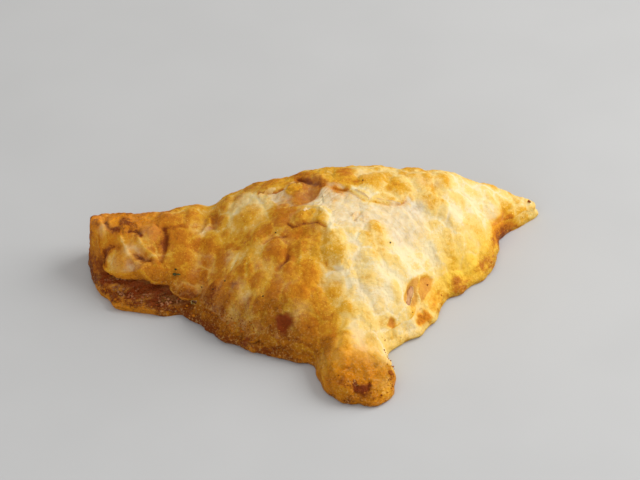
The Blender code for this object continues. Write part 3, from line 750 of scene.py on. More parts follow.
# How clearly the seam shows elsewhere: plan place, reach and share.
SEAMS = [
    ((24.0, -17.0), 8.0, 0.22), ((34.0, -5.0), 5.0, 0.12), ((45.0, 6.0), 6.0, 0.10),
    ((-44.5, 4.0), 3.0, 0.4), ((-30.0, -10.0), 4.0, 0.25), ((-24.8, -15.0), 2.0, 1.0),
    ((-16.0, -20.0), 3.0, 0.2), ((-7.0, -25.0), 2.4, 0.4),
]
BEVEL = 1.6  # how far in the top ends where the seam is shut, so that the side slopes on to the rim
SHUT_TO = 12  # the key level to which a shut seam is bridged
SLOPE_STEP = 0.2


def mouth(p):
    """1 along the open mouth between the sheets, 0 where they are sealed."""
    small = bell(p, *SMALL_MOUTH)
    return np.maximum(1.0 - step(line_distance(p, MOUTH), 1.0, 5.0), small)


def seam_share(rim):
    """How clearly the seam shows along the cut edges, 1 at the open mouth."""
    return clipped(mouth(rim) + bells(rim, SEAMS))


def top_set_back(rim):
    """How far the finished top ends inside the rim."""
    bevel = BEVEL * (1.0 - seam_share(rim)) * (1.0 - on_fold(rim))
    return set_back(rim) + bells(rim, LIP_CHANGES) + bevel


def sheet_frame(plan):
    """Points of the smooth upper sheet and its unit normals, from its slope over a short step."""
    height = smooth_height(plan)
    east = (smooth_height(plan + [SLOPE_STEP, 0.0]) - height) / SLOPE_STEP
    north = (smooth_height(plan + [0.0, SLOPE_STEP]) - height) / SLOPE_STEP
    normal = np.column_stack([-east, -north, np.ones(len(plan))])
    return np.column_stack([plan, height]), normal / np.linalg.norm(normal, axis=1)[:, None]


def tear_dip(plan):
    """How far the sheet turns down towards its tears."""
    depth = np.max([signed_depth(plan, corners) for corners in TEARS.values()], axis=0)
    dents = sum(deep * step(signed_depth(plan, dent), -0.3, 0.7) for dent, deep, *_ in DENTS.values())
    return 0.7 * step(depth, -1.6, 0.8) + dents


def fried(points):
    """How far the skin has fried into small bubbles at points in space."""
    return clipped(summed(points, FRIED))


def surface_rise(plan, points, normal):
    """Rise of the finished top over the smooth sheet, and its puffs and creases for the colours."""
    edge_share = share_of_crest(plan)
    calm = np.clip(4.0 * edge_share, 0.4, 1.0) * (0.6 + 0.4 * normal[:, 2])
    skin, large, lines = skin_relief(points)
    margin = puffs(plan)[1]
    in_puff = step(margin, 0.0, 1.2)
    body = np.maximum(large * (1.0 - in_puff), 1.0 - (1.0 - clipped(margin / 4.0)) ** 2)
    lines = np.maximum(lines * (1.0 - 0.8 * in_puff), 0.8 * hump(margin, 0.0, 0.8))
    peel = bare(plan)
    skin = (skin * (1.0 - 0.45 * in_puff) + 0.1 * in_puff) * np.clip(4.0 * edge_share, 0.75, 1.0)
    fine = skin * (1.0 - peel) + leaf_relief(points, large) * peel
    bubbles = 0.80 * domes(points, 1.6, 88) + 0.45 * domes(points, 0.9, 89) - 0.3
    fine += fried(points) * (1.0 - peel) * bubbles
    return relief(plan) * calm + fine - tear_dip(plan), body, lines * (1.0 - peel)


def upper_surface(plan, lift):
    """The finished top, moved out by a lift: the smooth sheet moved along its normals by its rise."""
    points, normal = sheet_frame(plan)
    return points + normal * (surface_rise(plan, points, normal)[0] + lift)[:, None]


def wall_keys(rim, back, top):
    """Key levels of the side wall below the top's border, as distance drawn in from the rim and height.

    On a cut edge the wall goes down the upper sheet's edge, into the seam or the open mouth, out over
    the lower sheet and round its rim. On the fold it is one round bulge.
    """
    fold = on_fold(rim)
    corner = bell(rim, *TALL_CORNER[:2])
    gap = mouth(rim)
    place, reach, higher = HIGH_LIP
    open_roof = np.minimum(MOUTH_ROOF + higher * bell(rim, place, reach), top - 1.0)
    roof = SHEET + 0.25 * (top - SHEET)
    roof = roof + (np.maximum(roof, open_roof) - roof) * gap
    lip = top - roof
    upper_dent, lower_dent = (0.4 * blisters(rim + np.array([0.0, side])) for side in (-5.0, -9.0))
    keys = [
        (back - 0.30, top - 0.19 * lip, 0.45 + 0.4 * upper_dent, 0.94),
        (back - 0.40 + 0.1 * corner, top - 0.43 * lip, 0.2 + 0.8 * upper_dent, 0.87),
        (back - 0.30 + 0.1 * corner, top - 0.74 * lip, 0.1 + upper_dent, 0.79),
        (back - 0.05 + 0.1 * corner, roof, 0.7 * upper_dent, 0.70),
        (back + 0.8 + 0.8 * gap, roof - 0.1, 0.3 * (upper_dent + lower_dent), 0.61),
        (back + 0.9 + MOUTH_DEPTH * gap, roof - 0.2 - 0.3 * gap, 0.5 * lower_dent, 0.52),
        (back + 0.9 + MOUTH_DEPTH * gap, SHEET + 0.68 * (roof - SHEET) * gap, 0.5 * lower_dent, 0.43),
        (0.8 * back + 0.3 + 2.0 * gap, SHEET + 0.34 * (roof - SHEET) * gap, 0.1 + 0.3 * lower_dent,
         0.35),
        (0.5 * back, SHEET + 0.3 * gap, 0.3, 0.27),
        (0.2 * back, np.full_like(top, SHEET), 0.45, 0.19),
        (np.full_like(top, -0.15), np.full_like(top, SHEET - 0.5), 0.8, 0.12),
        (np.full_like(top, -0.1), np.full_like(top, 0.45 * SHEET), 1.3, 0.06),
        (np.full_like(top, 0.3), np.full_like(top, 0.15 * SHEET), 1.8, 0.02),
        (np.full_like(top, 0.9), np.zeros_like(top), 2.2, 0.0),
    ]
    inward = np.array([cut_in + (fold_in - cut_in) * fold for cut_in, _, fold_in, _ in keys])
    height = np.array([cut_up + (share * top - cut_up) * fold for _, cut_up, _, share in keys])
    return inward, height


def side_wall(border, rim):
    """Rings of the side wall below the upper sheet's border, leafed and bubbled, and their levels."""
    first = np.linalg.norm(rim - border[:, :2], axis=1)
    inward, height = wall_keys(rim, first, border[:, 2])
    inward, height = np.vstack([first, inward]), np.vstack([border[:, 2], height])
    seam = np.maximum(seam_share(rim), on_fold(rim))
    part = np.linspace(0.0, 1.0, SHUT_TO + 1)[:, None]
    for levels in (inward, height):
        bridge = levels[0] * (1 - part) + levels[SHUT_TO] * part
        levels[:SHUT_TO + 1] = bridge + (levels[:SHUT_TO + 1] - bridge) * seam
    level = np.interp(np.linspace(0.0, 1.0, WALL_RINGS + 1)[1:], RING_SHARES, RING_LEVELS)
    low = np.minimum(level.astype(int), len(inward) - 2)
    part = (level - low)[:, None]
    inward = inward[low] * (1 - part) + inward[low + 1] * part
    height = height[low] * (1 - part) + height[low + 1] * part
    rows = zip(inward, height)
    base = np.vstack([np.column_stack([drawn_in(rim, cut_in), up]) for cut_in, up in rows])
    skin = skin_relief(base)[0]
    bubble = (0.35 + 0.9 * fried(base)) * (domes(base, 1.5, 82) + 0.6 * domes(base, 0.9, 83))
    bubble = bubble + 0.5 * domes(base, 2.7, 84) - 0.2
    free = np.sin(clipped(level / level[-1]) * np.pi) ** 0.5
    folded = 0.8 * domes(base, 6.0, 85).reshape(inward.shape) * on_fold(rim)
    out = ((0.4 * skin + bubble).reshape(inward.shape) + folded) * free[:, None]
    floor = (height < 1e-6) | (np.arange(WALL_RINGS)[:, None] == WALL_RINGS - 1)
    out = np.where(floor, 0.0, out)
    over_sheet = step(level[:, None], 5.8, 7.0) * (1.0 - step(level[:, None], 9.6, 11.0))
    over_sheet = over_sheet * (1.0 - on_fold(rim)) * seam
    rings = []
    for ring in range(WALL_RINGS):
        plan = drawn_in(rim, inward[ring] - out[ring])
        bubbles = 0.8 * domes(plan, 2.3, 86) + 0.6 * domes(plan, 1.2, 90)
        lift = over_sheet[ring] * (bubbles + 0.25 * rough_noise(plan, 1.2, 87))
        rings.append(np.column_stack([plan, np.where(floor[ring], 0.0, height[ring] + lift)]))
    return rings, level


# How brown the crust is by place in plan: 0 cream, 0.25 yellow, 0.5 gold, 0.75 brown, 1 red-brown.
BROWNING = {
    "left corner": [
        (-69, 38, 0.87), (-66, 35, 0.78), (-63, 37, 0.76), (-62, 33, 0.64), (-58, 32, 1.00),
        (-60, 29.5, 0.92), (-55, 30, 0.82), (-52, 31, 0.72), (-57, 28, 0.74), (-55, 34, 0.84),
        (-48, 31, 0.74), (-46, 34, 0.72), (-50, 27, 0.67), (-66, 30, 0.64), (-67, 26, 0.87),
        (-63.5, 23, 0.44), (-60, 25, 0.67), (-58, 22, 0.48), (-60, 19, 0.60), (-55, 18, 0.78),
        (-52, 22, 0.56), (-49, 22, 0.68), (-47, 21, 0.84), (-50, 16, 0.68), (-53, 14, 0.64),
        (-62, 19, 0.52), (-45, 15, 0.62), (-46, 10.5, 0.74), (-41, 8, 0.76),
    ],
    "left arm": [
        (-45, 25, 0.65), (-40, 26, 0.68), (-42, 31, 0.58), (-37, 31, 0.55), (-38, 23, 0.64),
        (-40, 18, 0.65), (-36, 17, 0.64), (-33, 29, 0.60), (-31, 27, 0.74), (-28, 30, 0.50),
        (-25, 28, 0.40), (-24, 24, 0.30), (-26, 20, 0.48), (-31, 19, 0.48), (-30, 12, 0.67),
        (-27, 9, 0.52), (-25, 15, 0.56), (-22, 12, 0.60), (-35, 12, 0.71), (-40, 12, 0.63),
        (-37, 6, 0.79), (-33, 8, 0.73), (-45, 38, 0.66), (-30, 37, 0.56),
    ],
    "front": [
        (-30, 4, 0.74), (-26, 3, 0.62), (-32, 0, 0.88), (-35, 2, 0.84), (-33, -4, 0.92),
        (-29, -1, 0.78), (-28, -6, 0.68), (-30, -9, 0.78), (-25, -5, 0.58), (-27, -10, 0.72),
        (-22, 0, 0.60), (-19, -3, 0.63), (-22, -8, 0.64), (-18, -8, 0.66), (-15, -5, 0.66),
        (-12, -9, 0.68), (-17, -11, 0.74), (-22, -13, 0.70), (-10, -3, 0.66), (-8, -8, 0.64),
        (-5, -8, 0.62), (-3, -10, 0.58), (-10, -14, 0.66), (-7.5, -14.5, 0.50), (-5, -14, 0.58),
        (-2, -15, 0.50), (-13, -19, 0.74), (-9, -19, 0.70), (-5, -20, 0.70), (-18, -17, 0.72),
        (-7, -4, 0.52), (-15, 2, 0.68), (-12, 5, 0.66), (-18, 6, 0.58), (-8, 2, 0.66),
        (-4, 1, 0.62), (-1, 2, 0.54),
    ],
    "left of the top": [
        (-18, 15, 0.54), (-15, 12, 0.60), (-10, 10, 0.68), (-8, 13.5, 0.68), (-4, 11, 0.50),
        (0, 12, 0.42), (1.5, 9.5, 0.30), (3.4, 8, 0.18), (-2, 7.4, 0.64), (0, 5, 0.54),
        (-7, 6, 0.66), (-18, 20, 0.42), (-19, 26, 0.30), (-16, 25, 0.26), (-15, 30, 0.65),
        (-13, 28, 0.50), (-8, 25, 0.56), (-5.6, 24, 0.68), (-22, 33, 0.61), (-8, 30, 0.57),
        (-4, 31, 0.81), (-1, 27, 0.71), (1.6, 24, 0.69), (-8, 18.5, 0.68), (-4, 19.5, 0.77),
        (-1.6, 21, 0.81), (-12, 36, 0.57), (5, 28, 0.44), (3, 31, 0.47), (0, 36, 0.53),
    ],
    "right of the top": [
        (9.4, 28, 0.64), (9.6, 25.5, 0.60), (7, 20.6, 0.71), (5, 18, 0.49), (12.4, 23.6, 0.55),
        (15, 25.5, 0.52), (17.4, 25.4, 0.46), (20, 23, 0.33), (15, 29, 0.30), (20, 29, 0.43),
        (23, 24, 0.53), (26, 25.2, 0.18), (27, 22, 0.39), (28, 30, 0.44), (31, 26, 0.26),
        (33, 29, 0.32), (35.5, 24.5, 0.44), (37, 22, 0.37), (34, 21, 0.33), (38, 28, 0.38),
        (25.4, 19, 0.39), (16, 19.4, 0.17), (20, 18.2, 0.17), (13, 19.6, 0.17), (10, 36, 0.48),
        (25, 36, 0.48), (36, 33, 0.42), (2, 16, 0.15), (9, 14, 0.13), (16, 12, 0.15), (12, 9, 0.15),
        (24, 12, 0.09), (30, 17, 0.09), (22, 9, 0.11), (27, 9, 0.13),
    ],
    "right face": [
        # Round the big puff near (4.6, -1) the browning runs from 0.52 on its left to 0.08 on its
        # right: baked colour, plus the puff's light and shade painted in as lit from the right.
        (4, 1, 0.34), (4.5, -2, 0.34), (7, 1, 0.24), (7.4, -2, 0.20), (9.6, 2, 0.08), (9, -3, 0.10),
        (1.6, -3.4, 0.52), (13, 1, 0.23), (16, 3, 0.39), (16.6, 7.4, 0.39), (16, 0.4, 0.43),
        (20, 1, 0.23), (22, 5.5, 0.08), (23.6, 1.6, 0.08), (26, -1, 0.11), (21, -4, 0.08),
        (33, 8, 0.11), (36, 12, 0.15), (40, 11, 0.23), (42, 14, 0.29), (3.4, -7.6, 0.03),
        (0, -11.5, 0.49), (2.4, -10, 0.41), (5, -4.4, 0.36), (7, -9.6, 0.08), (8, -5, 0.26),
        (10, -8, 0.23), (10.4, -12, 0.08), (5, -13, 0.35), (5, -17, 0.39), (8, -15, 0.17),
        (10, -19, 0.18), (13, -5, 0.19), (15, -8, 0.08), (17, -12, 0.06), (14, -15, 0.13),
        (14, -20, 0.27), (22, -8, 0.13), (21, -13, 0.27), (24, -12, 0.25), (20, -18, 0.33),
        (25, -15, 0.35), (16, -22, 0.29),
    ],
    "right edge": [
        (31, -5, 0.42), (33, -2, 0.42), (32, -8, 0.26), (28, -12.5, 0.30), (34.5, 1.5, 0.38),
        (38, 3, 0.38), (35.6, -1.6, 0.36), (30, -10.4, 0.22), (35, 6, 0.14), (41, 4.4, 0.40),
        (45, 6, 0.34), (43, 8, 0.24), (46, 10, 0.22), (49, 11.6, 0.36), (47, 13, 0.24),
        (50, 16, 0.28), (52.8, 15, 0.38), (52, 19, 0.32), (54.4, 22, 0.46), (52, 25, 0.18),
        (56, 26.6, 0.62), (58.4, 29, 0.58), (61, 31.5, 0.56),
    ],
    "right arm": [
        (37, 17, 0.22), (40, 23, 0.16), (43, 28, 0.10), (45, 22, 0.08), (42, 19, 0.05),
        (48, 28, 0.08), (48, 23, 0.14), (49, 19, 0.24), (45, 33, 0.16), (50, 33, 0.13),
        (54, 30, 0.06), (55, 35, 0.20), (60, 36, 0.22), (62, 34, 0.36), (66, 38, 0.34),
        (69, 38.5, 0.26), (45, 38, 0.34), (56, 39, 0.34),
    ],
    "neck and tab": [
        (5.6, -33.4, 0.25), (8.0, -34.4, 0.21), (6.6, -35.4, 0.29), (12.0, -35.8, 0.29),
        (-6, -20.5, 0.72), (-2, -18, 0.60), (1, -20, 0.54), (3.4, -21, 0.46), (-3.4, -25, 0.68),
        (0, -24, 0.62), (2.6, -25, 0.52), (5.4, -22.5, 0.03), (5.4, -28, 0.03), (8, -30, 0.05),
        (8, -25, 0.09), (11, -24, 0.27), (12, -27, 0.21), (14.6, -25, 0.13), (14.2, -31, 0.21),
        (-4.4, -30, 0.60), (0, -29.6, 0.66), (2.4, -29, 0.52), (-3.2, -34, 0.56), (2, -33, 0.32),
        (7, -33, 0.26), (12, -33.6, 0.42), (0, -36.4, 0.56), (5.4, -36, 0.38), (-2, -38.4, 0.70),
        (3, -38, 0.54), (7.4, -37, 0.20), (11.6, -37.8, 0.42), (15.2, -37, 0.62), (10.6, -41, 0.28),
        (13.6, -42, 0.34), (5, -42, 0.78), (8.6, -42.2, 0.80), (2, -41, 0.64), (-0.4, -41, 0.62),
        (10, -44.6, 0.60), (14.6, -43.6, 0.48), (6.9, -41, 0.40),
    ],
    "fold at the back": [
        (-68, 43, 0.66), (-55, 42, 0.62), (-20, 43, 0.54), (10, 43, 0.50), (35, 42, 0.44),
        (65, 42, 0.46),
    ],
}
# Where dough without its skin shows greyish: place, reach and share.
GREY_PLACES = [
    ((-62.4, 21.6), 2.6, 0.14), ((-56.4, 16.4), 3.0, 0.14), ((-51.6, 24.6), 3.4, 0.12),
    ((-65.4, 31.6), 1.8, 0.3), ((-57.8, 22.0), 1.8, 0.4), ((-57.6, 17.4), 1.9, 0.4),
    ((-55.6, 20.6), 1.2, 0.3), ((-24.5, -5.6), 2.0, 0.2), ((-27.4, 9.0), 1.9, 0.25),
    ((-28.0, -7.0), 1.8, 0.15), ((-22.0, 27.0), 4.0, 0.35), ((-16.0, 23.0), 3.0, 0.3),
    ((10.0, -12.0), 3.6, 0.3), ((3.6, -7.6), 1.7, 0.5), ((15.0, -13.0), 4.0, 0.3),
    ((9.6, 1.0), 1.3, 0.6), ((9.2, -3.0), 1.4, 0.6), ((30.0, 18.0), 3.0, 0.6),
    ((-8.0, -15.0), 1.8, 0.15), ((-33.8, 23.4), 1.3, 0.5), ((15.6, 28.6), 2.4, 0.3),
    ((-2.4, 20.4), 3.0, 0.16), ((-0.6, 25.6), 2.4, 0.12), ((32.0, 26.4), 2.0, 0.3),
    ((36.6, 26.4), 1.6, 0.35), ((22.4, 5.6), 2.4, 0.4), ((54.0, 30.4), 2.4, 0.25),
]
# Where fat has turned the skin a saturated orange: place, reach and share.
ORANGE_PLACES = [
    ((4.0, -37.0), 9.0, 0.95), ((10.0, -40.0), 6.0, 0.6), ((-6.0, -10.0), 7.0, 0.25),
    ((32.2, -4.6), 2.6, 0.35), ((-55.0, 31.5), 7.0, 0.65), ((-65.0, 35.0), 5.0, 0.5),
    ((52.5, 15.0), 2.4, 0.6), ((41.5, 3.4), 2.6, 0.6), ((34.4, -3.4), 2.0, 0.4),
    ((57.0, 27.0), 3.5, 0.6), ((-3.0, -25.0), 6.0, 0.3), ((-62.0, 14.0), 8.0, 0.8),
    ((28.0, -11.5), 2.0, 0.5),
]
# Where meat juice has soaked through and baked red-brown: place, reach and share.
SPOTS = [
    ((-14.3, -15.6), 3.2, 1.0), ((-12.0, -15.0), 1.6, 0.3), ((-14.6, -16.2), 1.4, 0.6),
    ((-22.2, -7.3), 1.2, 0.45), ((0.5, -39.0), 2.8, 0.55), ((-3.0, -36.0), 1.8, 0.5),
    ((5.4, -39.8), 1.6, 0.4), ((6.8, -43.6), 2.4, 0.7), ((4.6, -42.4), 1.1, 0.8),
    ((9.0, -42.2), 1.0, 0.8), ((6.8, -43.0), 1.0, 0.6), ((3.4, -36.2), 0.9, 0.6),
    ((-55.0, 26.2), 1.1, 0.6), ((-53.3, 23.9), 1.0, 0.7), ((-59.5, 30.8), 1.2, 0.6),
    ((-24.8, -14.2), 1.5, 0.8), ((-31.0, -4.2), 1.4, 0.5), ((27.2, -12.2), 1.1, 0.5),
    ((8.7, -39.5), 0.8, 0.5),
]
# Where fat has run and the crust is yellow-orange and shiny: place, reach and share.
OILY_PLACES = [
    ((45.0, 9.0), 7.0, 1.0), ((52.0, 17.0), 5.0, 0.9), ((38.0, 4.0), 5.0, 0.9),
    ((33.0, -5.0), 4.5, 0.9), ((27.0, -13.0), 4.0, 0.35), ((19.0, -20.0), 4.0, 0.2),
    ((7.0, -38.0), 9.0, 0.9), ((57.0, 27.0), 4.0, 0.6), ((-2.0, -28.0), 5.0, 0.5),
    ((3.0, -24.0), 6.0, 0.45), ((-52.0, 32.0), 6.0, 0.5), ((-66.0, 36.0), 4.0, 0.6),
    ((-15.0, -10.0), 12.0, 0.3),
]
PLACE_BLUR = 1.1  # how softly one named browning passes into the next
# Crisp places of the edge: plan place, reach and share.
CRISP_PLACES = [((27.4, -11.7), 1.2, 1.0), ((29.3, -10.2), 1.2, 1.0), ((26.4, -13.4), 0.9, 0.6)]
# Where the crust between its puffs has stayed pale in streaks: plan place, reach and share.
STREAKED = [
    ((-26.0, -5.0), 9.0, 0.6), ((-8.0, -15.0), 6.0, 0.6), ((-38.0, 6.0), 7.0, 0.3),
    ((-24.0, 8.0), 6.0, 0.5),
]
# Draws noise out into streaks that run down the left face.
DOWN_THE_LEFT_FACE = np.array([[0.78, -0.62, 0.0], [0.19, 0.23, 0.0], [0.0, 0.0, 0.3]])


def in_space(plan):
    """Plan places as points on the smooth sheet."""
    plan = np.array(plan, dtype=float)
    return np.column_stack([plan, smooth_height(plan)])


def summed(points, places):
    """Sum of bells in space, each with its plan place on the smooth sheet, its reach and its amount."""
    pairs = zip(in_space([place for place, _, _ in places]), places)
    return sum(amount * bell(points, middle, reach) for middle, (_, reach, amount) in pairs)


def browning_at(points):
    """The named places' browning, each weighed by (its distance squared + the blur squared) ** -2.2."""
    named = np.array([entry for group in BROWNING.values() for entry in group], dtype=float)
    middles = in_space(named[:, :2])

    def weighed(block):
        far = ((block[:, None] - middles) ** 2).sum(-1) + PLACE_BLUR ** 2
        weight = far ** -2.2
        return (weight * named[:, 2]).sum(1) / weight.sum(1)

    return in_blocks(weighed, points)


def wandering(points, amount, seed):
    """The points moved about by three noises, so that patches get uneven borders."""
    noises = [rough_noise(points, 3.0, seed + 7 * axis) for axis in range(3)]
    return points + amount * np.column_stack(noises)


def rim_line(points, edge):
    """Browning of the thin line along the right rim, by distance from the edge."""
    right = step(points[:, 0], 36.0, 40.0) * (1.0 - step(points[:, 0], 58.0, 64.0))
    return 0.22 * hump(edge, 0.0, 1.1) * right * (1.0 - on_fold(points))


def crisped(points, brown, grey, orange):
    """The browning, bare and orange masks with the crisp places of the edge put in."""
    crisp = clipped(1.4 * bells(points[:, :2], CRISP_PLACES))
    return brown + (0.80 - brown) * crisp, grey * (1.0 - crisp), orange + (0.4 - orange) * crisp


def top_masks(points, body, lines):
    """Masks of the upper sheet, from its places and from its puffs and creases, with painted shade in
    some creases.
    """
    plan = points[:, :2]
    peel = bare(plan)
    place = wandering(points, 0.9, 93)
    brown = browning_at(place)
    deep = step(brown, 0.28, 0.55)
    edge = np.minimum(line_distance(plan, RIGHT_CUT), line_distance(plan, LEFT_CUT))
    vary = soft_noise(points, 6.0, 98)
    pale = lines * step(vary, -0.4, 0.5) * (1.0 - peel)
    # dark is painted shade in some of the creases between puffs; it browns them below.
    dark = lines * step(-vary, 0.0, 0.6) * (1.0 - peel)
    streak = step(rough_noise(place @ DOWN_THE_LEFT_FACE.T, 1.8, 99, 3), 0.25, 0.9)
    streak = streak * clipped(summed(points, STREAKED))
    pale = pale * (1.0 - np.clip(1.3 * summed(points, ORANGE_PLACES), 0.0, 0.9))
    brown += 0.28 * (body - 0.5) * (1.0 - 0.6 * peel) + 0.18 * dark * deep - 0.08 * pale - 0.06 * streak
    at_edge = 0.14 * np.exp(-edge / 1.6) * (0.4 + 0.6 * deep)
    # The lines' browning includes the painted shade in grooves and the painted shadows under edges
    # noted at LINES.
    brown += line_bells(plan, "browning") + at_edge + rim_line(points, edge)
    grey = summed(place, GREY_PLACES) + 0.16 * pale + 0.22 * streak
    orange, tan = summed(place, ORANGE_PLACES), np.zeros(len(plan))
    for corners, _, browning, orange_there, tan_there in DENTS.values():
        here = step(signed_depth(plan, corners), -0.1, 0.5)
        brown, orange = brown + (browning - brown) * here, orange + (orange_there - orange) * here
        grey, tan = grey * (1.0 - here), tan + tan_there * here
    brown, grey, orange = crisped(points, brown, grey, orange)
    return {
        "browning": brown,
        "bare": clipped(0.75 * peel * (1.0 - step(brown, 0.5, 0.75)) + grey),
        "spot": summed(place, SPOTS),
        "oil": clipped(summed(points, OILY_PLACES)),
        "orange": clipped(orange),
        "fried": fried(points),
        "tan": tan,
        "torn": np.zeros(len(plan)),
        "leaf": fibre_place(plan)[0],
    }


def wall_masks(points, rim, level):
    """Masks of the side wall, from its level: sheet's torn edge, seam or mouth, lower sheet and rim."""
    level = np.repeat(level, len(rim))
    fold, gap, seam = (np.tile(share(rim), WALL_RINGS) for share in (on_fold, mouth, seam_share))
    open_seam = seam * (1.0 - fold)
    inner = hump(level, 6.5, 1.8) * open_seam
    shelf = hump(level, 9.5, 1.5) * open_seam
    rim_band = step(level, 9.0, 10.6) * (1 - fold)
    noise = rough_noise(points, 2.2, 96, 3)
    brown = browning_at(wandering(points, 0.9, 93)) + 0.10 * noise
    pale_leg = bell(points[:, :2], (26.0, -15.0), 8.0) * (1.0 - step(level, 10.5, 12.5))
    deep = step(brown, 0.28, 0.55)
    # Browner in the seam and just under the upper sheet's lip in the open mouth: baked juice, plus
    # painted shade under the overhang.
    brown += deep * (1 - fold) * (0.16 * step(level, 1.0, 9.0) + 0.10 * rim_band) + 0.12 * inner * deep
    under_lip = hump(level, 5.0, 1.5)
    in_gap = 0.16 * inner + 0.34 * under_lip + 0.20 * shelf * noise + 0.14 * step(level, 0.6, 2.4)
    brown += gap * in_gap - 0.22 * pale_leg
    brown += rim_line(points, 1.5 - 1.5 * step(level, 1.0, 6.0)) - 0.22 * gap * step(level, 10.0, 11.5)
    wet = gap * clipped(hump(level, 6.8, 2.0) + 0.45 * shelf)
    orange = summed(points, ORANGE_PLACES) + (0.3 + 0.35 * gap) * rim_band * deep
    brown, bare_leg, orange = crisped(points, brown, 0.15 * pale_leg, orange)
    return {
        "browning": brown,
        "bare": clipped(bare_leg),
        "spot": clipped(wet * (0.78 + 0.7 * noise) + summed(points, SPOTS)),
        "oil": clipped(summed(points, OILY_PLACES) + wet + 0.4 * rim_band),
        "orange": clipped(orange),
        "fried": clipped(fried(points) + 0.5 * rim_band),
        "tan": clipped(0.35 * wet * step(-noise, -0.1, 0.5)),
        "torn": clipped(0.3 * step(level, 0.5, 2.0) * (1.0 - rim_band) * (1 - fold) * (1.0 - gap)),
        "leaf": points[:, 2] + 0.3 * noise,
    }


def make_crust():
    """The folded sheet as one closed body: upper sheet, side wall and flat underside, then its cuts."""
    plan, faces, border = grid_cap(drawn_in(RIM, top_set_back(RIM)), CRUST_CELLS)
    smooth, normal = sheet_frame(plan)
    rise, body, lines = surface_rise(plan, smooth, normal)
    top = smooth + normal * rise[:, None]
    _, place = square_grid(CRUST_CELLS)
    rim = along_curve(RIM, place.ravel()[border])
    rings, level = side_wall(top[border], rim)
    wall_points = np.vstack(rings)
    wall, last = skirt(border, len(rings), len(top))
    masks, lower = top_masks(smooth, body, lines), wall_masks(wall_points, rim, level)
    masks = {name: np.concatenate([masks[name], lower[name]]) for name in masks}
    masks["underside"] = np.zeros(len(top) + len(wall_points))
    masks["underside"][last] = 1.0
    quads = faces.tolist() + wall.tolist() + [last.tolist()]
    crust = new_mesh("crust", np.vstack([top, wall_points]), quads, masks)
    point_out(crust)
    cut(crust, filling_body("hollow_cutter", HOLLOW_CELLS, CLEARANCE, 0.0))
    for number, (name, corners) in enumerate(TEARS.items()):
        cut(crust, tear_cutter(name.replace(" ", "_") + "_cutter", corners, TEAR_SEED + number))
    crust.data.set_sharp_from_angle(angle=CRUST_SHARP)
    return crust


TEAR_SAMPLES = 160
TEAR_RINGS = 12
TEAR_SEED = 101


def tear_cutter(name, corners, seed):
    """A ragged upright prism over a tear's corners, wider at the top, from the filling to the air."""
    curve = closed_curve(corners, TEAR_SAMPLES)
    middle = curve.mean(0)
    arc = np.linspace(0.0, 2 * np.pi, len(curve), endpoint=False)
    round_trip = 3.0 * np.column_stack([np.cos(arc), np.sin(arc)])
    levels = np.linspace(TEAR_FLOOR, HEIGHT, TEAR_RINGS)
    rings = []
    for height in levels[::-1]:
        ragged = 0.12 * rough_noise(round_trip + height * 0.25, 1.8, seed)
        out = (curve - middle) / np.linalg.norm(curve - middle, axis=1)[:, None]
        spread = 0.02 * (height - 9.0)
        ring = curve + out * (ragged + spread)[:, None]
        rings.append(np.column_stack([ring, np.full(len(curve), height)]))
    points = np.vstack(rings)
    wall, last = skirt(np.arange(len(curve)), len(rings) - 1, len(curve))
    masks = torn_masks(points)
    cutter = new_mesh(name, points, [list(range(len(curve)))] + wall.tolist() + [last.tolist()], masks)
    point_out(cutter)
    return cutter


def torn_masks(points):
    """Masks of the faces that a cutter leaves: bare, leafed dough, a little soaked."""
    count = len(points)
    noise = rough_noise(points[:, :2] + points[:, 2:] * 0.7, 2.0, 97)
    return {
        "browning": 0.55 + 0.15 * noise,
        "bare": np.full(count, 0.1),
        "spot": clipped(0.05 + 0.1 * noise),
        "oil": np.full(count, 0.7),
        "orange": np.full(count, 0.3),
        "tan": bells(points[:, :2], TAN_PLACES),
        "torn": np.ones(count),
        "leaf": points[:, 2].copy(),
        "fried": np.zeros(count),
        "underside": np.zeros(count),
    }


# ---------------------------------------------------------------- the filling

FILLING_CELLS = 110
FILLING_RINGS = 8
MINCED = 0.7  # rise of the minced grains


def filling_height(p):
    """Top of the filling: the crust's thickness below the smooth upper sheet, less at the tears."""
    crust = CRUST - (CRUST - TEAR_THIN_CRUST) * sum(bell(p, t, TEAR_REACH) for t in TEAR_PLACES)
    return np.maximum(smooth_height(p) - crust, SHEET + 1.0)


def filling_body(name, cells, grow, minced):
    """The filling, or the hollow it lies in when grown by the clearance, with minced grains on top."""
    edge = closed_curve(FILLING_OUTLINE, OUTLINE_SAMPLES)
    plan, faces, border = grid_cap(edge, cells)
    waves = 0.35 * np.sin(plan[:, 0] * 1.1) * np.sin(plan[:, 1] * 1.3 + plan[:, 0] * 0.4)
    depth = np.max([signed_depth(plan, corners) for corners in TEARS.values()], axis=0)
    in_tear = step(depth, -1.2, -0.1)
    grains = minced * (domes(plan, 2.6, 111) + 0.5 * domes(plan, 1.2, 112) - 0.3) * (1.0 - in_tear)
    grains += TEAR_FILLED * in_tear * (minced > 0)
    height = filling_height(plan) + waves + grains + grow
    grown, _, _ = grid_cap(drawn_in(edge, -grow), cells)
    top = np.column_stack([grown, height])
    rings = []
    foot = SHEET + CLEARANCE - grow
    for share in np.linspace(0.0, 1.0, FILLING_RINGS + 1)[1:]:
        level = height[border] * (1 - share) + foot * share
        round_side = np.column_stack([grown[border].sum(1), level * 1.5])
        bulge = minced * 0.5 * (domes(round_side, 1.6, 113) - 0.5)
        outward = drawn_in(grown[border], -bulge * math.sin(math.pi * share))
        rings.append(np.column_stack([outward, level]))
    points = np.vstack([top] + rings)
    wall, last = skirt(border, len(rings), len(top))
    faces = faces.tolist() + wall.tolist() + [last.tolist()]
    filling = new_mesh(name, points, faces, torn_masks(points))
    point_out(filling)
    return filling


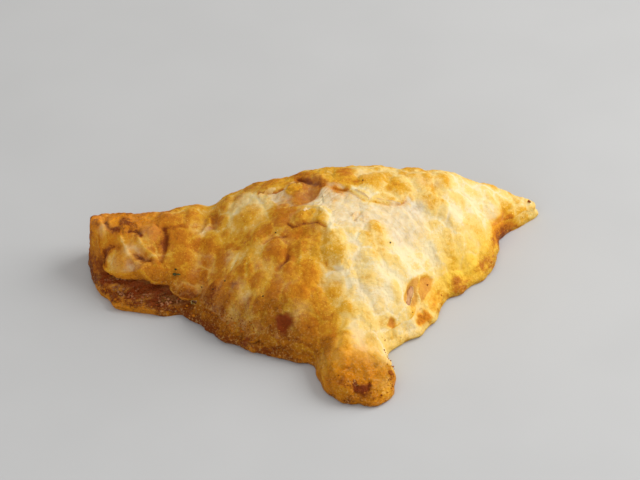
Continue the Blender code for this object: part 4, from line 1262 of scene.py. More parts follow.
# ---------------------------------------------------------------- flakes, crumbs, specks and juice

# Thin skins torn loose: plan middle, length, width, turn in degrees, lift of the far edge, browning.
FLAKES = [
    ((13.6, 18.6), 5.0, 0.8, -34.0, 0.3, 0.20), ((21.4, 17.7), 8.0, 0.7, -2.0, 0.25, 0.18),
    ((-3.3, 13.3), 2.2, 1.5, 20.0, 0.4, 0.10), ((13.6, 9.6), 3.0, 1.1, 28.0, 0.6, 0.10),
    ((10.8, 11.0), 2.4, 0.8, 50.0, 0.5, 0.16), ((-6.0, 24.4), 4.6, 3.4, -8.0, 0.4, 0.50),
    ((-14.6, 26.4), 6.0, 1.4, 14.0, 0.4, 0.26),
]
FLAKE_CELLS = (26, 12)
FLAKE_THICKNESS = 0.16
FLAKE_SEED = 201
FLAKE_SHARP = math.radians(50.0)


def flake(middle, length, width, turn, lift, seed):
    """One torn skin lying on the crust: a ragged oval of two sheets, its far edge curled up.

    u runs along the flake and v across it, from -1 to 1. The half width is the root of 1 - u squared,
    made ragged by noise, and the lift grows with the square of (v + 1) / 2.
    """
    u, v = np.meshgrid(*(np.linspace(-1, 1, cells + 1) for cells in FLAKE_CELLS), indexing="ij")
    flat = np.column_stack([u.ravel(), v.ravel()])
    two_edges = np.column_stack([flat[:, 0] * 3.0, np.sign(flat[:, 1]) * 5.0])
    ragged = 1.0 + 0.22 * rough_noise(two_edges, 1.0, seed)
    half = np.sqrt(clipped(1.02 - flat[:, 0] ** 2)) ** 0.7 * ragged
    x, y = flat[:, 0] * length / 2, flat[:, 1] * half * width / 2 + 0.08 * width * flat[:, 0] ** 2
    cos, sin = math.cos(math.radians(turn)), math.sin(math.radians(turn))
    plan = np.column_stack([x * cos - y * sin, x * sin + y * cos]) + middle
    rise = -0.18 + lift * ((flat[:, 1] + 1) / 2) ** 2 * (1 - 0.5 * flat[:, 0] ** 2)
    rise = rise + 0.12 * rough_noise(plan, 1.2, seed + 3)
    over = upper_surface(plan, 0.0)
    _, normal = sheet_frame(plan)
    top = over + normal * (rise + FLAKE_THICKNESS)[:, None]
    bottom = over + normal * rise[:, None]
    count = len(plan)
    number = np.arange(count).reshape(u.shape)
    quads = grid_quads(number)
    edge = np.roll(grid_border(number), FLAKE_CELLS[0])
    sides = np.stack([edge, edge + count, np.roll(edge, -1) + count, np.roll(edge, -1)], 1)
    return np.vstack([top, bottom]), np.vstack([quads, quads[:, ::-1] + count, sides])


def make_flakes():
    """All the torn skins as one mesh, each with its own browning."""
    points, faces, brown, start = [], [], [], 0
    for number, (middle, length, width, turn, lift, browning) in enumerate(FLAKES):
        shape, quads = flake(middle, length, width, turn, lift, FLAKE_SEED + 7 * number)
        points.append(shape)
        faces.append(quads + start)
        brown.append(np.full(len(shape), browning) + 0.06 * rough_noise(shape[:, :2], 1.5, 99))
        start += len(shape)
    points, brown = np.vstack(points), np.concatenate(brown)
    masks = torn_masks(points)
    masks.update(browning=brown, bare=clipped(0.6 - 1.4 * brown))
    masks.update({name: 0 * brown for name in ("spot", "oil", "torn")})
    flakes = new_mesh("torn_flakes", points, np.vstack(faces).tolist(), masks)
    point_out(flakes)
    flakes.data.set_sharp_from_angle(angle=FLAKE_SHARP)
    return flakes


CRUMB_RINGS, CRUMB_SIDES = 4, 6


def lump_template():
    """Points and faces of a rough ball: rings of points between two poles."""
    tilt = np.linspace(0.0, np.pi, CRUMB_RINGS + 2)[1:-1]
    turn = np.arange(CRUMB_SIDES) * 2 * np.pi / CRUMB_SIDES
    tilt, turn = (q.ravel() for q in np.meshgrid(tilt, turn, indexing="ij"))
    ball = np.column_stack([np.sin(tilt) * np.cos(turn), np.sin(tilt) * np.sin(turn), np.cos(tilt)])
    points = np.vstack([[0.0, 0.0, 1.0], ball, [0.0, 0.0, -1.0]])
    number = 1 + np.arange(CRUMB_RINGS * CRUMB_SIDES).reshape(CRUMB_RINGS, CRUMB_SIDES)
    last = len(points) - 1
    top = np.stack([np.zeros_like(number[0]), number[0], np.roll(number[0], -1)], 1)
    bottom = np.stack([np.full_like(number[0], last), np.roll(number[-1], -1), number[-1]], 1)
    return points, ring_quads(number).tolist() + top.tolist() + bottom.tolist()


def scattered(name, places, sizes, seed, flatness=0.7):
    """Rough balls of the given sizes at the given places, as one mesh."""
    draw = np.random.RandomState(seed)
    ball, faces = lump_template()
    count = len(places)
    rough = draw.uniform(0.6, 1.25, (count, len(ball), 1))
    stretch = draw.uniform(0.7, 1.3, (count, 1, 3)) * [1.0, 1.0, flatness]
    turn = draw.uniform(0.0, 2 * np.pi, count)
    shapes = ball[None] * rough * stretch
    cos, sin = np.cos(turn)[:, None], np.sin(turn)[:, None]
    x, y, z = (shapes[..., axis] for axis in range(3))
    shapes = np.stack([x * cos - y * sin, x * sin + y * cos, z], -1)
    points = (places[:, None] + shapes * np.asarray(sizes)[:, None, None]).reshape(-1, 3)
    faces = [[corner + copy * len(ball) for corner in face] for copy in range(count) for face in faces]
    shade = np.repeat(draw.uniform(0.0, 1.0, count), len(ball))
    obj = new_mesh(name, points, faces, {"shade": shade})
    point_out(obj)
    return obj


def make_crumbs(count, seed):
    """Crumbs on the cut edges: most on the left one and the tab, few on the right one."""
    draw = np.random.RandomState(seed)
    turn = draw.randint(0, OUTLINE_SAMPLES, 6 * count)
    rim = RIM[turn]
    likely = 0.02 + 0.9 * bell(rim, (-28.0, -10.0), 16.0) + 0.5 * bell(rim, (6.0, -40.0), 10.0)
    likely = (likely + 0.5 * bell(rim, (-58.0, 12.0), 14.0)) * (1.0 - on_fold(rim))
    rim = rim[draw.uniform(size=len(rim)) < likely][:count]
    inward = draw.uniform(0.3, 1.0, len(rim)) + draw.exponential(1.2, len(rim))
    plan = drawn_in(rim, inward)
    on_top = inward > set_back(rim) + 0.5
    shelf = np.column_stack([plan, np.full(len(plan), SHEET + 0.2)])
    places = np.where(on_top[:, None], upper_surface(plan, 0.05), shelf)
    return scattered("crumbs", places, 0.12 + draw.exponential(0.10, len(places)), seed + 1)


# Plan place and size of each.
HERBS = [
    (-44.6, 11.6, 1.0), (-43.4, 11.2, 0.8), (-44.0, 12.4, 0.6), (-29.5, 2.0, 0.45),
    (-37.0, 7.6, 0.4),
]
HERB_SEED, PEPPER_SEED = 41, 43
PEPPER = [
    (20.2, 3.5, 0.42), (-13.5, 9.0, 0.3), (14.5, 24.0, 0.32), (-19.0, -8.4, 0.35),
    (-33.0, 2.0, 0.3),
]


def make_specks(name, places, seed, flatness):
    """Herb leaves or pepper grains baked into the top at named plan places, with their sizes."""
    places = np.array(places)
    points = upper_surface(places[:, :2], 0.03)
    return scattered(name, points, places[:, 2], seed, flatness)


JUICE_BEADS = 90
JUICE_SEED = 31


def make_juice_beads():
    """Glossy beads of set juice and fat lying in the open mouth between the sheets."""
    draw = np.random.RandomState(JUICE_SEED)
    line = np.array(MOUTH)
    at = draw.uniform(0.3, len(line) - 1.2, JUICE_BEADS)
    plan = np.column_stack([np.interp(at, range(len(line)), line[:, axis]) for axis in (0, 1)])
    inward = draw.uniform(2.6, 9.0, JUICE_BEADS)
    up = SHEET + np.interp(inward, (2.6, 6.0, 9.0), (0.5, 1.2, 2.0))
    up = up + draw.uniform(-0.1, 0.4, JUICE_BEADS)
    points = np.column_stack([drawn_in(plan, inward), up])
    return scattered("juice_beads", points, draw.uniform(0.3, 0.65, JUICE_BEADS), JUICE_SEED + 1, 0.55)


# ---------------------------------------------------------------- shader groups

def feed(tree, node, inputs):
    """Feeds a node's inputs with numbers, colours or the sockets that lead to them."""
    for key, value in inputs.items():
        if isinstance(value, bpy.types.NodeSocket):
            tree.links.new(value, node.inputs[key])
        else:
            node.inputs[key].default_value = value


def add_node(tree, kind, inputs=None, **settings):
    """A node with its settings and its inputs, laid out in rows of twelve."""
    new = tree.nodes.new(kind)
    new.location = (190.0 * (len(tree.nodes) % 12), -260.0 * (len(tree.nodes) // 12))
    for name, value in settings.items():
        setattr(new, name, value)
    feed(tree, new, inputs or {})
    return new


def math_of(tree, operation, first, second, third=0.0):
    """The output of a Math node."""
    inputs = {0: first, 1: second, 2: third}
    return add_node(tree, "ShaderNodeMath", inputs, operation=operation).outputs[0]


def plus(tree, first, second):
    """The sum of two values."""
    return math_of(tree, "ADD", first, second)


def minus(tree, first, second):
    """The first value less the second."""
    return math_of(tree, "SUBTRACT", first, second)


def times(tree, first, second):
    """The product of two values."""
    return math_of(tree, "MULTIPLY", first, second)


def times_plus(tree, first, second, third):
    """The product of two values, and the third added to it."""
    return math_of(tree, "MULTIPLY_ADD", first, second, third)


def eased(tree, value, low, high, to_low=0.0, to_high=1.0):
    """The output of a smooth Map Range node."""
    inputs = {"Value": value, "From Min": low, "From Max": high, "To Min": to_low, "To Max": to_high}
    return add_node(tree, "ShaderNodeMapRange", inputs, interpolation_type="SMOOTHSTEP").outputs[0]


def mixed(tree, factor, first, second, blend="MIX"):
    """The output of a Mix node for colours."""
    inputs = {0: factor, 6: first, 7: second}
    return add_node(tree, "ShaderNodeMix", inputs, data_type="RGBA", blend_type=blend).outputs[2]


def noise_of(tree, vector, scale, detail=3.0, roughness=0.55, distortion=0.0):
    """The value of a Noise texture, whose scale is in features per millimetre."""
    inputs = {"Vector": vector, "Scale": scale, "Detail": detail, "Roughness": roughness}
    inputs["Distortion"] = distortion
    return add_node(tree, "ShaderNodeTexNoise", inputs).outputs["Fac"]


def cells_of(tree, vector, scale):
    """The distance from the middle of rounded cells, whose scale is in cells per millimetre."""
    inputs = {"Vector": vector, "Scale": scale}
    return add_node(tree, "ShaderNodeTexVoronoi", inputs, feature="SMOOTH_F1").outputs["Distance"]


def bump_of(tree, strength, distance, height):
    """The normal of a Bump node."""
    inputs = {"Strength": strength, "Distance": distance, "Height": height}
    return add_node(tree, "ShaderNodeBump", inputs).outputs["Normal"]


def new_group(name, inputs, outputs):
    """A shader group fed with a position and named values: its tree, position, values and end node.

    An input whose default is a tuple is a colour, and so is the output named Colour. All others are
    numbers.
    """
    tree = bpy.data.node_groups.new(name, "ShaderNodeTree")
    tree.interface.new_socket("Position", in_out="INPUT", socket_type="NodeSocketVector")
    for label, default in inputs.items():
        kind = "NodeSocketColor" if isinstance(default, tuple) else "NodeSocketFloat"
        tree.interface.new_socket(label, in_out="INPUT", socket_type=kind).default_value = default
    for label in outputs:
        kind = "NodeSocketColor" if label == "Colour" else "NodeSocketFloat"
        tree.interface.new_socket(label, in_out="OUTPUT", socket_type=kind)
    given = tree.nodes.new("NodeGroupInput").outputs
    return tree, given["Position"], given, tree.nodes.new("NodeGroupOutput")


# The levels between which each baked colour takes over from the one before it.
BAKED_STEPS = (("Yellow", 0.0, 0.26), ("Gold", 0.24, 0.50), ("Brown", 0.48, 0.76), ("Dark", 0.76, 1.06))


def baked_colour_group():
    """Colour of baked dough from a browning level, mottled by three sizes of noise."""
    tree, position, given, result = new_group("Baked colour", {
        "Browning": 0.5, "Mottling": 1.0,
        "Cream": (0.9, 0.7, 0.3, 1.0), "Yellow": (0.8, 0.6, 0.2, 1.0), "Gold": (0.7, 0.4, 0.08, 1.0),
        "Brown": (0.4, 0.15, 0.02, 1.0), "Dark": (0.12, 0.03, 0.01, 1.0),
    }, ("Colour", "Level"))
    patches = minus(tree, noise_of(tree, position, 0.30, 3.0, 0.55, 0.6), 0.5)
    mottles = minus(tree, noise_of(tree, position, 0.9, 4.0, 0.60, 0.4), 0.5)
    grains = minus(tree, noise_of(tree, position, 3.4, 3.0, 0.65), 0.5)
    # Pale specks: partly pale bits of skin, partly painted sparkle highlights.
    pale_specks_and_sparkle = eased(tree, noise_of(tree, position, 2.3, 2.0), 0.60, 0.74)
    dark_specks = eased(tree, noise_of(tree, position, 1.7, 3.0, 0.6, 0.8), 0.62, 0.76)
    change = times(tree, mottles, 0.50)
    for part, amount in ((patches, 0.30), (grains, 0.26), (pale_specks_and_sparkle, -0.24), (dark_specks, 0.15)):
        change = times_plus(tree, part, amount, change)
    level = times_plus(tree, change, given["Mottling"], given["Browning"])
    shade = given["Cream"]
    for darker, low, high in BAKED_STEPS:
        shade = mixed(tree, eased(tree, level, low, high), shade, given[darker])
    feed(tree, result, {"Colour": shade, "Level": level})


def skin_bubble_group():
    """Height and tops of the micro blisters of a fried-looking skin."""
    values = {"Coarse": 1.0, "Fine": 1.0}
    tree, position, given, result = new_group("Skin bubbles", values, ("Height", "Tops"))
    warp = noise_of(tree, position, 0.9, 2.0)
    coarse, fine = cells_of(tree, position, 1.05), cells_of(tree, position, 2.9)
    rounds = times(tree, minus(tree, 0.75, coarse), given["Coarse"])
    beads = times(tree, minus(tree, 0.75, fine), given["Fine"])
    grain = times(tree, noise_of(tree, position, 5.5, 4.0, 0.65), given["Fine"])
    total = times_plus(tree, rounds, warp, times(tree, beads, 0.35))
    tops = eased(tree, coarse, 0.5, 0.1)
    feed(tree, result, {"Height": times_plus(tree, grain, 0.4, total), "Tops": tops})


def leaf_group():
    """Thin curved lines of laminated dough along a leaf coordinate in millimetres."""
    values = {"Leaf": 0.0, "Spacing": 0.8}
    tree, position, given, result = new_group("Dough leaves", values, ("Height", "Lines"))
    wander = times(tree, noise_of(tree, position, 0.5, 3.0), 2.2)
    turn = math_of(tree, "DIVIDE", plus(tree, given["Leaf"], wander), given["Spacing"])
    saw = math_of(tree, "FRACT", turn, 0.0)
    ramp = math_of(tree, "SMOOTH_MIN", saw, times(tree, minus(tree, 1.0, saw), 4.0), 0.1)
    breaks = eased(tree, noise_of(tree, position, 0.35, 2.0), 0.38, 0.6)
    lines = times(tree, eased(tree, saw, 0.86, 1.0), breaks)
    feed(tree, result, {"Height": times(tree, ramp, breaks), "Lines": lines})


def oil_group():
    """Roughness and coat of a surface that is oily in patches."""
    values = {"Oil": 0.0, "Dry roughness": 0.6}
    tree, position, given, result = new_group("Oil sheen", values, ("Roughness", "Coat"))
    patchy = noise_of(tree, position, 1.1, 3.0)
    oil = eased(tree, plus(tree, given["Oil"], times(tree, patchy, 0.8)), 0.45, 1.15)
    glint = eased(tree, noise_of(tree, position, 2.7, 2.0), 0.55, 0.68)
    drier = times_plus(tree, glint, -0.26, times(tree, oil, -0.34))
    rough = math_of(tree, "MAXIMUM", plus(tree, given["Dry roughness"], drier), 0.14)
    feed(tree, result, {"Roughness": rough, "Coat": times(tree, oil, 0.04)})


# ---------------------------------------------------------------- materials

def new_material(name):
    """An empty node material, its tree, shader and position in millimetres."""
    material = bpy.data.materials.new(name)
    material.use_nodes = True
    tree = material.node_tree
    tree.nodes.clear()
    output = tree.nodes.new("ShaderNodeOutputMaterial")
    shader = add_node(tree, "ShaderNodeBsdfPrincipled")
    tree.links.new(shader.outputs["BSDF"], output.inputs["Surface"])
    place = add_node(tree, "ShaderNodeTexCoord").outputs["Object"]
    inputs = {0: place, 1: (MILLIMETRES,) * 3}
    position = add_node(tree, "ShaderNodeVectorMath", inputs, operation="MULTIPLY").outputs[0]
    return material, tree, shader, position


def mask_of(tree, name):
    """The output of a mesh's own mask."""
    node = add_node(tree, "ShaderNodeAttribute", attribute_name=name, attribute_type="GEOMETRY")
    return node.outputs["Fac"]


def placed(tree, group, inputs):
    """The outputs of a shader group placed in a tree, with its inputs."""
    return add_node(tree, "ShaderNodeGroup", inputs, node_tree=bpy.data.node_groups[group]).outputs


def opaque(colours):
    """The colour settings by name, each with full cover."""
    return {name: (*getattr(colours, name), 1.0) for name in CrustColours.__annotations__}


CRUST_MASKS = ("browning", "bare", "spot", "oil", "orange", "fried", "tan", "torn", "leaf", "underside")
BAKED_COLOURS = ("cream", "yellow", "gold", "brown", "dark")


def bare_dough(tree, paint, tint, lines):
    """Colour of the bare leaves: two shades of dough and the golden lines between the leaves."""
    dough = mixed(tree, eased(tree, tint, 0.35, 0.65), paint["dough"], paint["dough_shade"])
    return mixed(tree, times(tree, lines, 0.55), dough, paint["gold"])


def crust_material(colours):
    """Mottled baked skin with painted glints on its fried bubbles, bare grey-white leaves, soaked
    spots, oily edges and a browned underside.
    """
    material, tree, shader, position = new_material("baked_crust")
    paint = opaque(colours)
    masks = {name: mask_of(tree, name) for name in CRUST_MASKS}
    baked = placed(tree, "Baked colour", {
        "Position": position, "Browning": masks["browning"],
        "Mottling": eased(tree, masks["browning"], 0.2, 0.6, 0.8, 1.15),
        **{name.capitalize(): paint[name] for name in BAKED_COLOURS},
    })
    bubbles = placed(tree, "Skin bubbles", {"Position": position})
    leaves = placed(tree, "Dough leaves", {"Position": position, "Leaf": masks["leaf"], "Spacing": 0.9})
    oil = placed(tree, "Oil sheen", {"Position": position, "Oil": masks["oil"], "Dry roughness": 0.66})

    fat = times(tree, times(tree, masks["orange"], eased(tree, baked["Level"], 1.0, 0.7)), 0.9)
    rich = times(tree, times(tree, masks["oil"], eased(tree, baked["Level"], 0.6, 0.3)), 0.75)
    skin = mixed(tree, fat, mixed(tree, rich, baked["Colour"], paint["yolk"]), paint["oily"])
    tint = noise_of(tree, position, 0.6, 4.0)
    patches = eased(tree, noise_of(tree, position, 0.5, 3.0), 0.28, 0.5, 0.45, 1.0)
    dough = bare_dough(tree, paint, tint, leaves["Lines"])
    shade = mixed(tree, times(tree, masks["bare"], patches), skin, dough)

    soaked = plus(tree, masks["spot"], times(tree, minus(tree, tint, 0.5), 0.5))
    soaked = times(tree, eased(tree, soaked, 0.15, 0.85), eased(tree, masks["spot"], 0.0, 0.15))
    shade = mixed(tree, soaked, shade, paint["juice"])
    shade = mixed(tree, masks["tan"], shade, paint["tan"])
    # Painted highlights: the glint colour is mixed into the tops of the fried bubbles at noise spots;
    # the coat there adds real gloss.
    glints = times(tree, eased(tree, noise_of(tree, position, 1.5, 3.0), 0.53, 0.66), masks["fried"])
    glints = times(tree, glints, minus(tree, 1.0, soaked))
    shade = mixed(tree, times(tree, glints, 0.45), shade, paint["glint"])
    base_noise = noise_of(tree, position, 0.16, 5.0, 0.6)
    base = mixed(tree, eased(tree, base_noise, 0.35, 0.65), paint["gold"], paint["brown"])

    covered = minus(tree, 1.0, times(tree, masks["bare"], 0.7))
    crackled = times_plus(tree, masks["browning"], 0.5, masks["fried"])
    crackled = eased(tree, crackled, 0.25, 1.1, 0.8, 3.6)
    bubbled = times(tree, times(tree, bubbles["Height"], covered), crackled)
    leafed = times(tree, leaves["Height"], math_of(tree, "MAXIMUM", masks["bare"], masks["torn"]))
    feed(tree, shader, {
        "Base Color": mixed(tree, masks["underside"], shade, base),
        "Roughness": oil["Roughness"],
        "Coat Weight": times_plus(tree, glints, 0.04, oil["Coat"]),
        "Coat Roughness": 0.3,
        "Normal": bump_of(tree, 0.9, 0.0006, times_plus(tree, leafed, 0.5, bubbled)),
        "Subsurface Weight": 0.1,
        "Subsurface Radius": (1.0, 0.55, 0.2),
        "Subsurface Scale": 0.001,
        "Specular IOR Level": 0.08,
    })
    return material


def filling_material(colours):
    """Minced meat: pinkish tan to red-brown grains, wet with juice."""
    material, tree, shader, position = new_material("minced_meat")
    paint = opaque(colours)
    blend = noise_of(tree, position, 0.55, 4.0)
    shade = mixed(tree, eased(tree, blend, 0.34, 0.66), paint["meat"], paint["juice"])
    fat = eased(tree, noise_of(tree, position, 1.3, 2.0), 0.6, 0.72)
    shade = mixed(tree, times(tree, fat, 0.6), shade, paint["meat_fat"])
    grains = minus(tree, 1.0, cells_of(tree, position, 0.9))
    height = times_plus(tree, noise_of(tree, position, 3.5), 0.4, grains)
    feed(tree, shader, {
        "Base Color": mixed(tree, times(tree, mask_of(tree, "tan"), 0.85), shade, paint["tan"]),
        "Roughness": eased(tree, blend, 0.3, 0.7, 0.28, 0.5),
        "Coat Weight": 0.15,
        "Coat Roughness": 0.2,
        "Normal": bump_of(tree, 0.8, 0.0005, height),
        "Subsurface Weight": 0.2,
        "Subsurface Radius": (1.0, 0.4, 0.25),
        "Subsurface Scale": 0.0015,
    })
    return material


def bits_material(name, first, second, roughness, coat=0.0):
    """Small bits whose colour runs from the first to the second by each bit's shade, finely grained."""
    material, tree, shader, position = new_material(name)
    grain = times(tree, minus(tree, noise_of(tree, position, 2.4, 3.0), 0.5), 0.8)
    level = eased(tree, plus(tree, mask_of(tree, "shade"), grain), 0.0, 1.0)
    feed(tree, shader, {
        "Base Color": mixed(tree, level, (*first, 1.0), (*second, 1.0)),
        "Roughness": eased(tree, grain, -0.3, 0.3, roughness - 0.08, roughness + 0.08),
        "Coat Weight": coat,
        "Normal": bump_of(tree, 0.6, 0.0002, noise_of(tree, position, 5.0)),
        "Specular IOR Level": 0.1,
    })
    return material


def floor_material(colour):
    """A plain pale matt floor with the faintest unevenness."""
    material, tree, shader, position = new_material("pale_floor")
    tone = eased(tree, noise_of(tree, position, 0.02, 2.0), 0.3, 0.7, 0.97, 1.0)
    shade = mixed(tree, 1.0, (*colour, 1.0), tone, "MULTIPLY")
    feed(tree, shader, {"Base Color": shade, "Roughness": 0.85, "Specular IOR Level": 0.2})
    return material


# ---------------------------------------------------------------- settings

def colour_of(label, description, default):
    """A colour setting."""
    return FloatVectorProperty(
        name=label, description=description, subtype="COLOR", size=3, min=0.0, max=1.0, default=default)


def number_of(kind, label, description, default, **limits):
    """A number setting of a kind, at least 0 unless its limits say otherwise."""
    return kind(name=label, description=description, default=default, **{"min": 0, **limits})


class CrustColours(bpy.types.PropertyGroup):
    """Colours of the dough from unbaked-looking to burnt, of the glints painted on its fried bubbles,
    and of the meat and its juice.
    """

    # glint is the colour of the painted highlights on the fried bubbles' tops.
    glint: colour_of("Glints", "Pale tops of the fried bubbles", (1.0, 0.62, 0.22))
    cream: colour_of("Cream", "Lightest baked skin", (0.85, 0.71, 0.42))
    yellow: colour_of("Yellow", "Pale yellow skin", (0.85, 0.59, 0.18))
    gold: colour_of("Gold", "Golden skin", (0.73, 0.365, 0.022))
    brown: colour_of("Brown", "Well browned skin and edges", (0.54, 0.178, 0.009))
    dark: colour_of("Dark", "Nearly burnt edges", (0.26, 0.055, 0.006))
    oily: colour_of("Oily", "Skin soaked with fat", (0.95, 0.32, 0.006))
    yolk: colour_of("Yolk", "Yellow skin shiny with fat", (0.94, 0.57, 0.03))
    dough: colour_of("Dough", "Bare leaves under the skin", (0.75, 0.65, 0.48))
    dough_shade: colour_of("Dough shade", "Darker patches of the bare leaves", (0.70, 0.54, 0.33))
    juice: colour_of("Juice", "Crust soaked with meat juice", (0.30, 0.055, 0.008))
    meat: colour_of("Meat", "Minced meat", (0.40, 0.17, 0.07))
    tan: colour_of("Tan", "Meat and dough seen through the tears", (0.64, 0.33, 0.09))
    meat_fat: colour_of("Meat fat", "Fat and cooked juice in the meat", (0.56, 0.31, 0.20))


class PieceSettings(bpy.types.PropertyGroup):
    """Amounts of the small pieces."""

    crumb_count: number_of(IntProperty, "Crumbs", "Crumbs on the cut edges", 600, max=4000)
    crumb_seed: number_of(IntProperty, "Crumb seed", "Another seed lays the crumbs elsewhere", 21)


class StageSettings(bpy.types.PropertyGroup):
    """Floor, light and camera."""

    floor: colour_of("Floor", "Colour of the floor", (0.53, 0.54, 0.56))
    floor_size: number_of(FloatProperty, "Floor size", "Side of the floor", 3.0, min=0.5, unit="LENGTH")
    key_power: number_of(FloatProperty, "Key light", "Power of the right light", 8.6, unit="POWER")
    fill_power: number_of(FloatProperty, "Fill light", "Power of the left light", 2.4, unit="POWER")
    sky: number_of(FloatProperty, "Sky", "Strength of the even light all round", 0.51)
    focal_length: number_of(FloatProperty, "Focal length", "In millimetres", 168.4, min=10.0)


# ---------------------------------------------------------------- operators

class PASTRY_OT_groups(bpy.types.Operator):
    """Builds the shader groups that the materials share."""

    bl_idname = "pastry.groups"
    bl_label = "Shader groups"

    def execute(self, context):
        baked_colour_group()
        skin_bubble_group()
        leaf_group()
        oil_group()
        return {"FINISHED"}


class PASTRY_OT_crust(bpy.types.Operator):
    """Makes the folded puff pastry crust."""

    bl_idname = "pastry.crust"
    bl_label = "Crust"

    def execute(self, context):
        dress(make_crust(), crust_material(context.scene.pastry_colours), ["pastry"])
        return {"FINISHED"}


class PASTRY_OT_filling(bpy.types.Operator):
    """Makes the minced meat filling."""

    bl_idname = "pastry.filling"
    bl_label = "Filling"

    def execute(self, context):
        filling = filling_body("meat_filling", FILLING_CELLS, 0.0, MINCED)
        dress(filling, filling_material(context.scene.pastry_colours), ["filling"])
        return {"FINISHED"}


class PASTRY_OT_flakes(bpy.types.Operator):
    """Lays the torn skins on the top."""

    bl_idname = "pastry.flakes"
    bl_label = "Torn flakes"

    def execute(self, context):
        dress(make_flakes(), bpy.data.materials["baked_crust"])
        return {"FINISHED"}


class PASTRY_OT_crumbs(bpy.types.Operator):
    """Scatters crumbs on the cut edges."""

    bl_idname = "pastry.crumbs"
    bl_label = "Crumbs"

    def execute(self, context):
        colours, pieces = context.scene.pastry_colours, context.scene.pastry_pieces
        material = bits_material("baked_crumbs", colours.brown, colours.dark, 0.6)
        dress(make_crumbs(pieces.crumb_count, pieces.crumb_seed), material)
        return {"FINISHED"}


class PASTRY_OT_specks(bpy.types.Operator):
    """Bakes herb leaves and pepper grains into the top."""

    bl_idname = "pastry.specks"
    bl_label = "Herbs and pepper"

    def execute(self, context):
        herbs = bits_material("baked_herbs", (0.03, 0.035, 0.012), (0.07, 0.07, 0.02), 0.6)
        dress(make_specks("herb_leaves", HERBS, HERB_SEED, 0.25), herbs)
        pepper = bits_material("pepper_grains", (0.02, 0.015, 0.01), (0.06, 0.04, 0.02), 0.6)
        dress(make_specks("pepper_grains", PEPPER, PEPPER_SEED, 0.6), pepper)
        return {"FINISHED"}


class PASTRY_OT_juices(bpy.types.Operator):
    """Lays beads of set juice in the open mouth."""

    bl_idname = "pastry.juices"
    bl_label = "Juices"

    def execute(self, context):
        colours = context.scene.pastry_colours
        material = bits_material("set_juice", colours.juice, colours.meat, 0.34, 0.1)
        dress(make_juice_beads(), material)
        return {"FINISHED"}


CAMERA_PLACE = Vector((-0.0401, -0.7062, 0.5588))
CAMERA_TARGET = Vector((0.0007, 0.0216, 0.0120))
CAMERA_ROLL = math.radians(-3.5)
CAMERA_NEAR = 0.01
KEY_PLACE, KEY_COLOUR = (0.74, 0.12, 0.50), (1.0, 0.98, 0.94)
FILL_PLACE, FILL_COLOUR = (-0.3, -0.72, 0.5), (0.94, 0.97, 1.0)
LIGHT_SIZE = 0.8
SKY_COLOUR = (1.0, 0.965, 0.90, 1.0)


def facing(place, target):
    """The turn of a light or a camera at a place that faces a target."""
    return (Vector(target) - Vector(place)).to_track_quat("-Z", "Y")


def linked(name, data):
    """An object for the data, linked into the scene."""
    obj = bpy.data.objects.new(name, data)
    bpy.context.scene.collection.objects.link(obj)
    return obj


def add_light(name, place, power, colour):
    """A square soft light at a place, facing the pastry."""
    light = bpy.data.lights.new(name, "AREA")
    light.shape = "SQUARE"
    light.size = LIGHT_SIZE
    light.energy = power
    light.color = colour
    obj = linked(name, light)
    obj.location = place
    obj.rotation_euler = facing(place, (0, 0, 0)).to_euler()


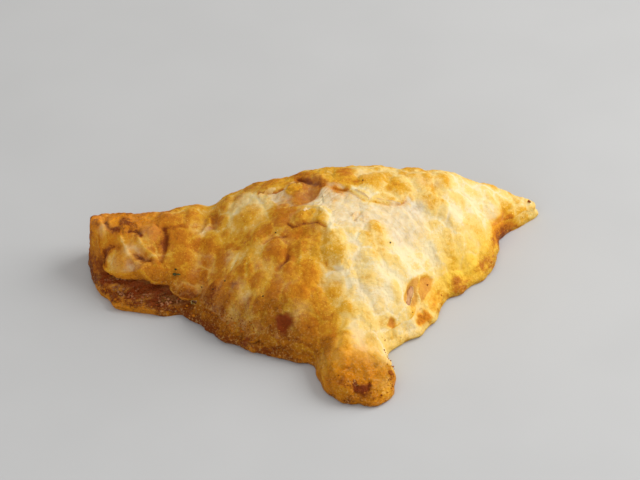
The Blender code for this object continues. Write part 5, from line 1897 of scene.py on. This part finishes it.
class PASTRY_OT_stage(bpy.types.Operator):
    """Sets the floor, the soft light and the camera."""

    bl_idname = "pastry.stage"
    bl_label = "Stage"

    def execute(self, context):
        stage = context.scene.pastry_stage
        half = stage.floor_size / 2
        mesh = bpy.data.meshes.new("floor")
        corners = [(-half, -half, 0.0), (half, -half, 0.0), (half, half, 0.0), (-half, half, 0.0)]
        mesh.from_pydata(corners, [], [(0, 1, 2, 3)])
        mesh.materials.append(floor_material(stage.floor))
        floor = linked("floor", mesh)
        add_light("key_light", KEY_PLACE, stage.key_power, KEY_COLOUR)
        add_light("fill_light", FILL_PLACE, stage.fill_power, FILL_COLOUR)
        world = bpy.data.worlds.new("soft_sky")
        world.use_nodes = True
        background = world.node_tree.nodes["Background"]
        feed(world.node_tree, background, {"Color": SKY_COLOUR, "Strength": stage.sky})
        context.scene.world = world
        camera = bpy.data.cameras.new("camera")
        camera.lens = stage.focal_length
        camera.clip_start = CAMERA_NEAR
        holder = linked("camera", camera)
        look = facing(CAMERA_PLACE, CAMERA_TARGET).to_matrix().to_4x4()
        roll = Matrix.Rotation(CAMERA_ROLL, 4, "Z")
        holder.matrix_world = Matrix.Translation(CAMERA_PLACE) @ look @ roll
        context.scene.camera = holder
        context.scene.view_settings.view_transform = "Standard"
        return {"FINISHED"}


OPERATORS = [
    PASTRY_OT_groups, PASTRY_OT_crust, PASTRY_OT_filling, PASTRY_OT_flakes, PASTRY_OT_crumbs,
    PASTRY_OT_specks, PASTRY_OT_juices, PASTRY_OT_stage,
]
STEPS = [
    bpy.ops.pastry.groups, bpy.ops.pastry.crust, bpy.ops.pastry.filling, bpy.ops.pastry.flakes,
    bpy.ops.pastry.crumbs, bpy.ops.pastry.specks, bpy.ops.pastry.juices, bpy.ops.pastry.stage,
]


class PASTRY_PT_panel(bpy.types.Panel):
    """Lists the steps and their settings."""

    bl_idname = "PASTRY_PT_panel"
    bl_label = "Meat Pastry"
    bl_space_type = "VIEW_3D"
    bl_region_type = "UI"
    bl_category = "Pastry"

    def draw(self, context):
        for operator in OPERATORS:
            self.layout.operator(operator.bl_idname)
        scene = context.scene
        for settings in (scene.pastry_colours, scene.pastry_pieces, scene.pastry_stage):
            box = self.layout.box()
            for name in settings.__annotations__:
                box.prop(settings, name)


CLASSES = [CrustColours, PieceSettings, StageSettings, *OPERATORS, PASTRY_PT_panel]


def register():
    for cls in CLASSES:
        bpy.utils.register_class(cls)
    bpy.types.Scene.pastry_colours = PointerProperty(type=CrustColours)
    bpy.types.Scene.pastry_pieces = PointerProperty(type=PieceSettings)
    bpy.types.Scene.pastry_stage = PointerProperty(type=StageSettings)


def unregister():
    del bpy.types.Scene.pastry_stage
    del bpy.types.Scene.pastry_pieces
    del bpy.types.Scene.pastry_colours
    for cls in reversed(CLASSES):
        bpy.utils.unregister_class(cls)


def main():
    register()
    for step_of_work in STEPS:
        step_of_work()


if __name__ == "__main__":
    main()
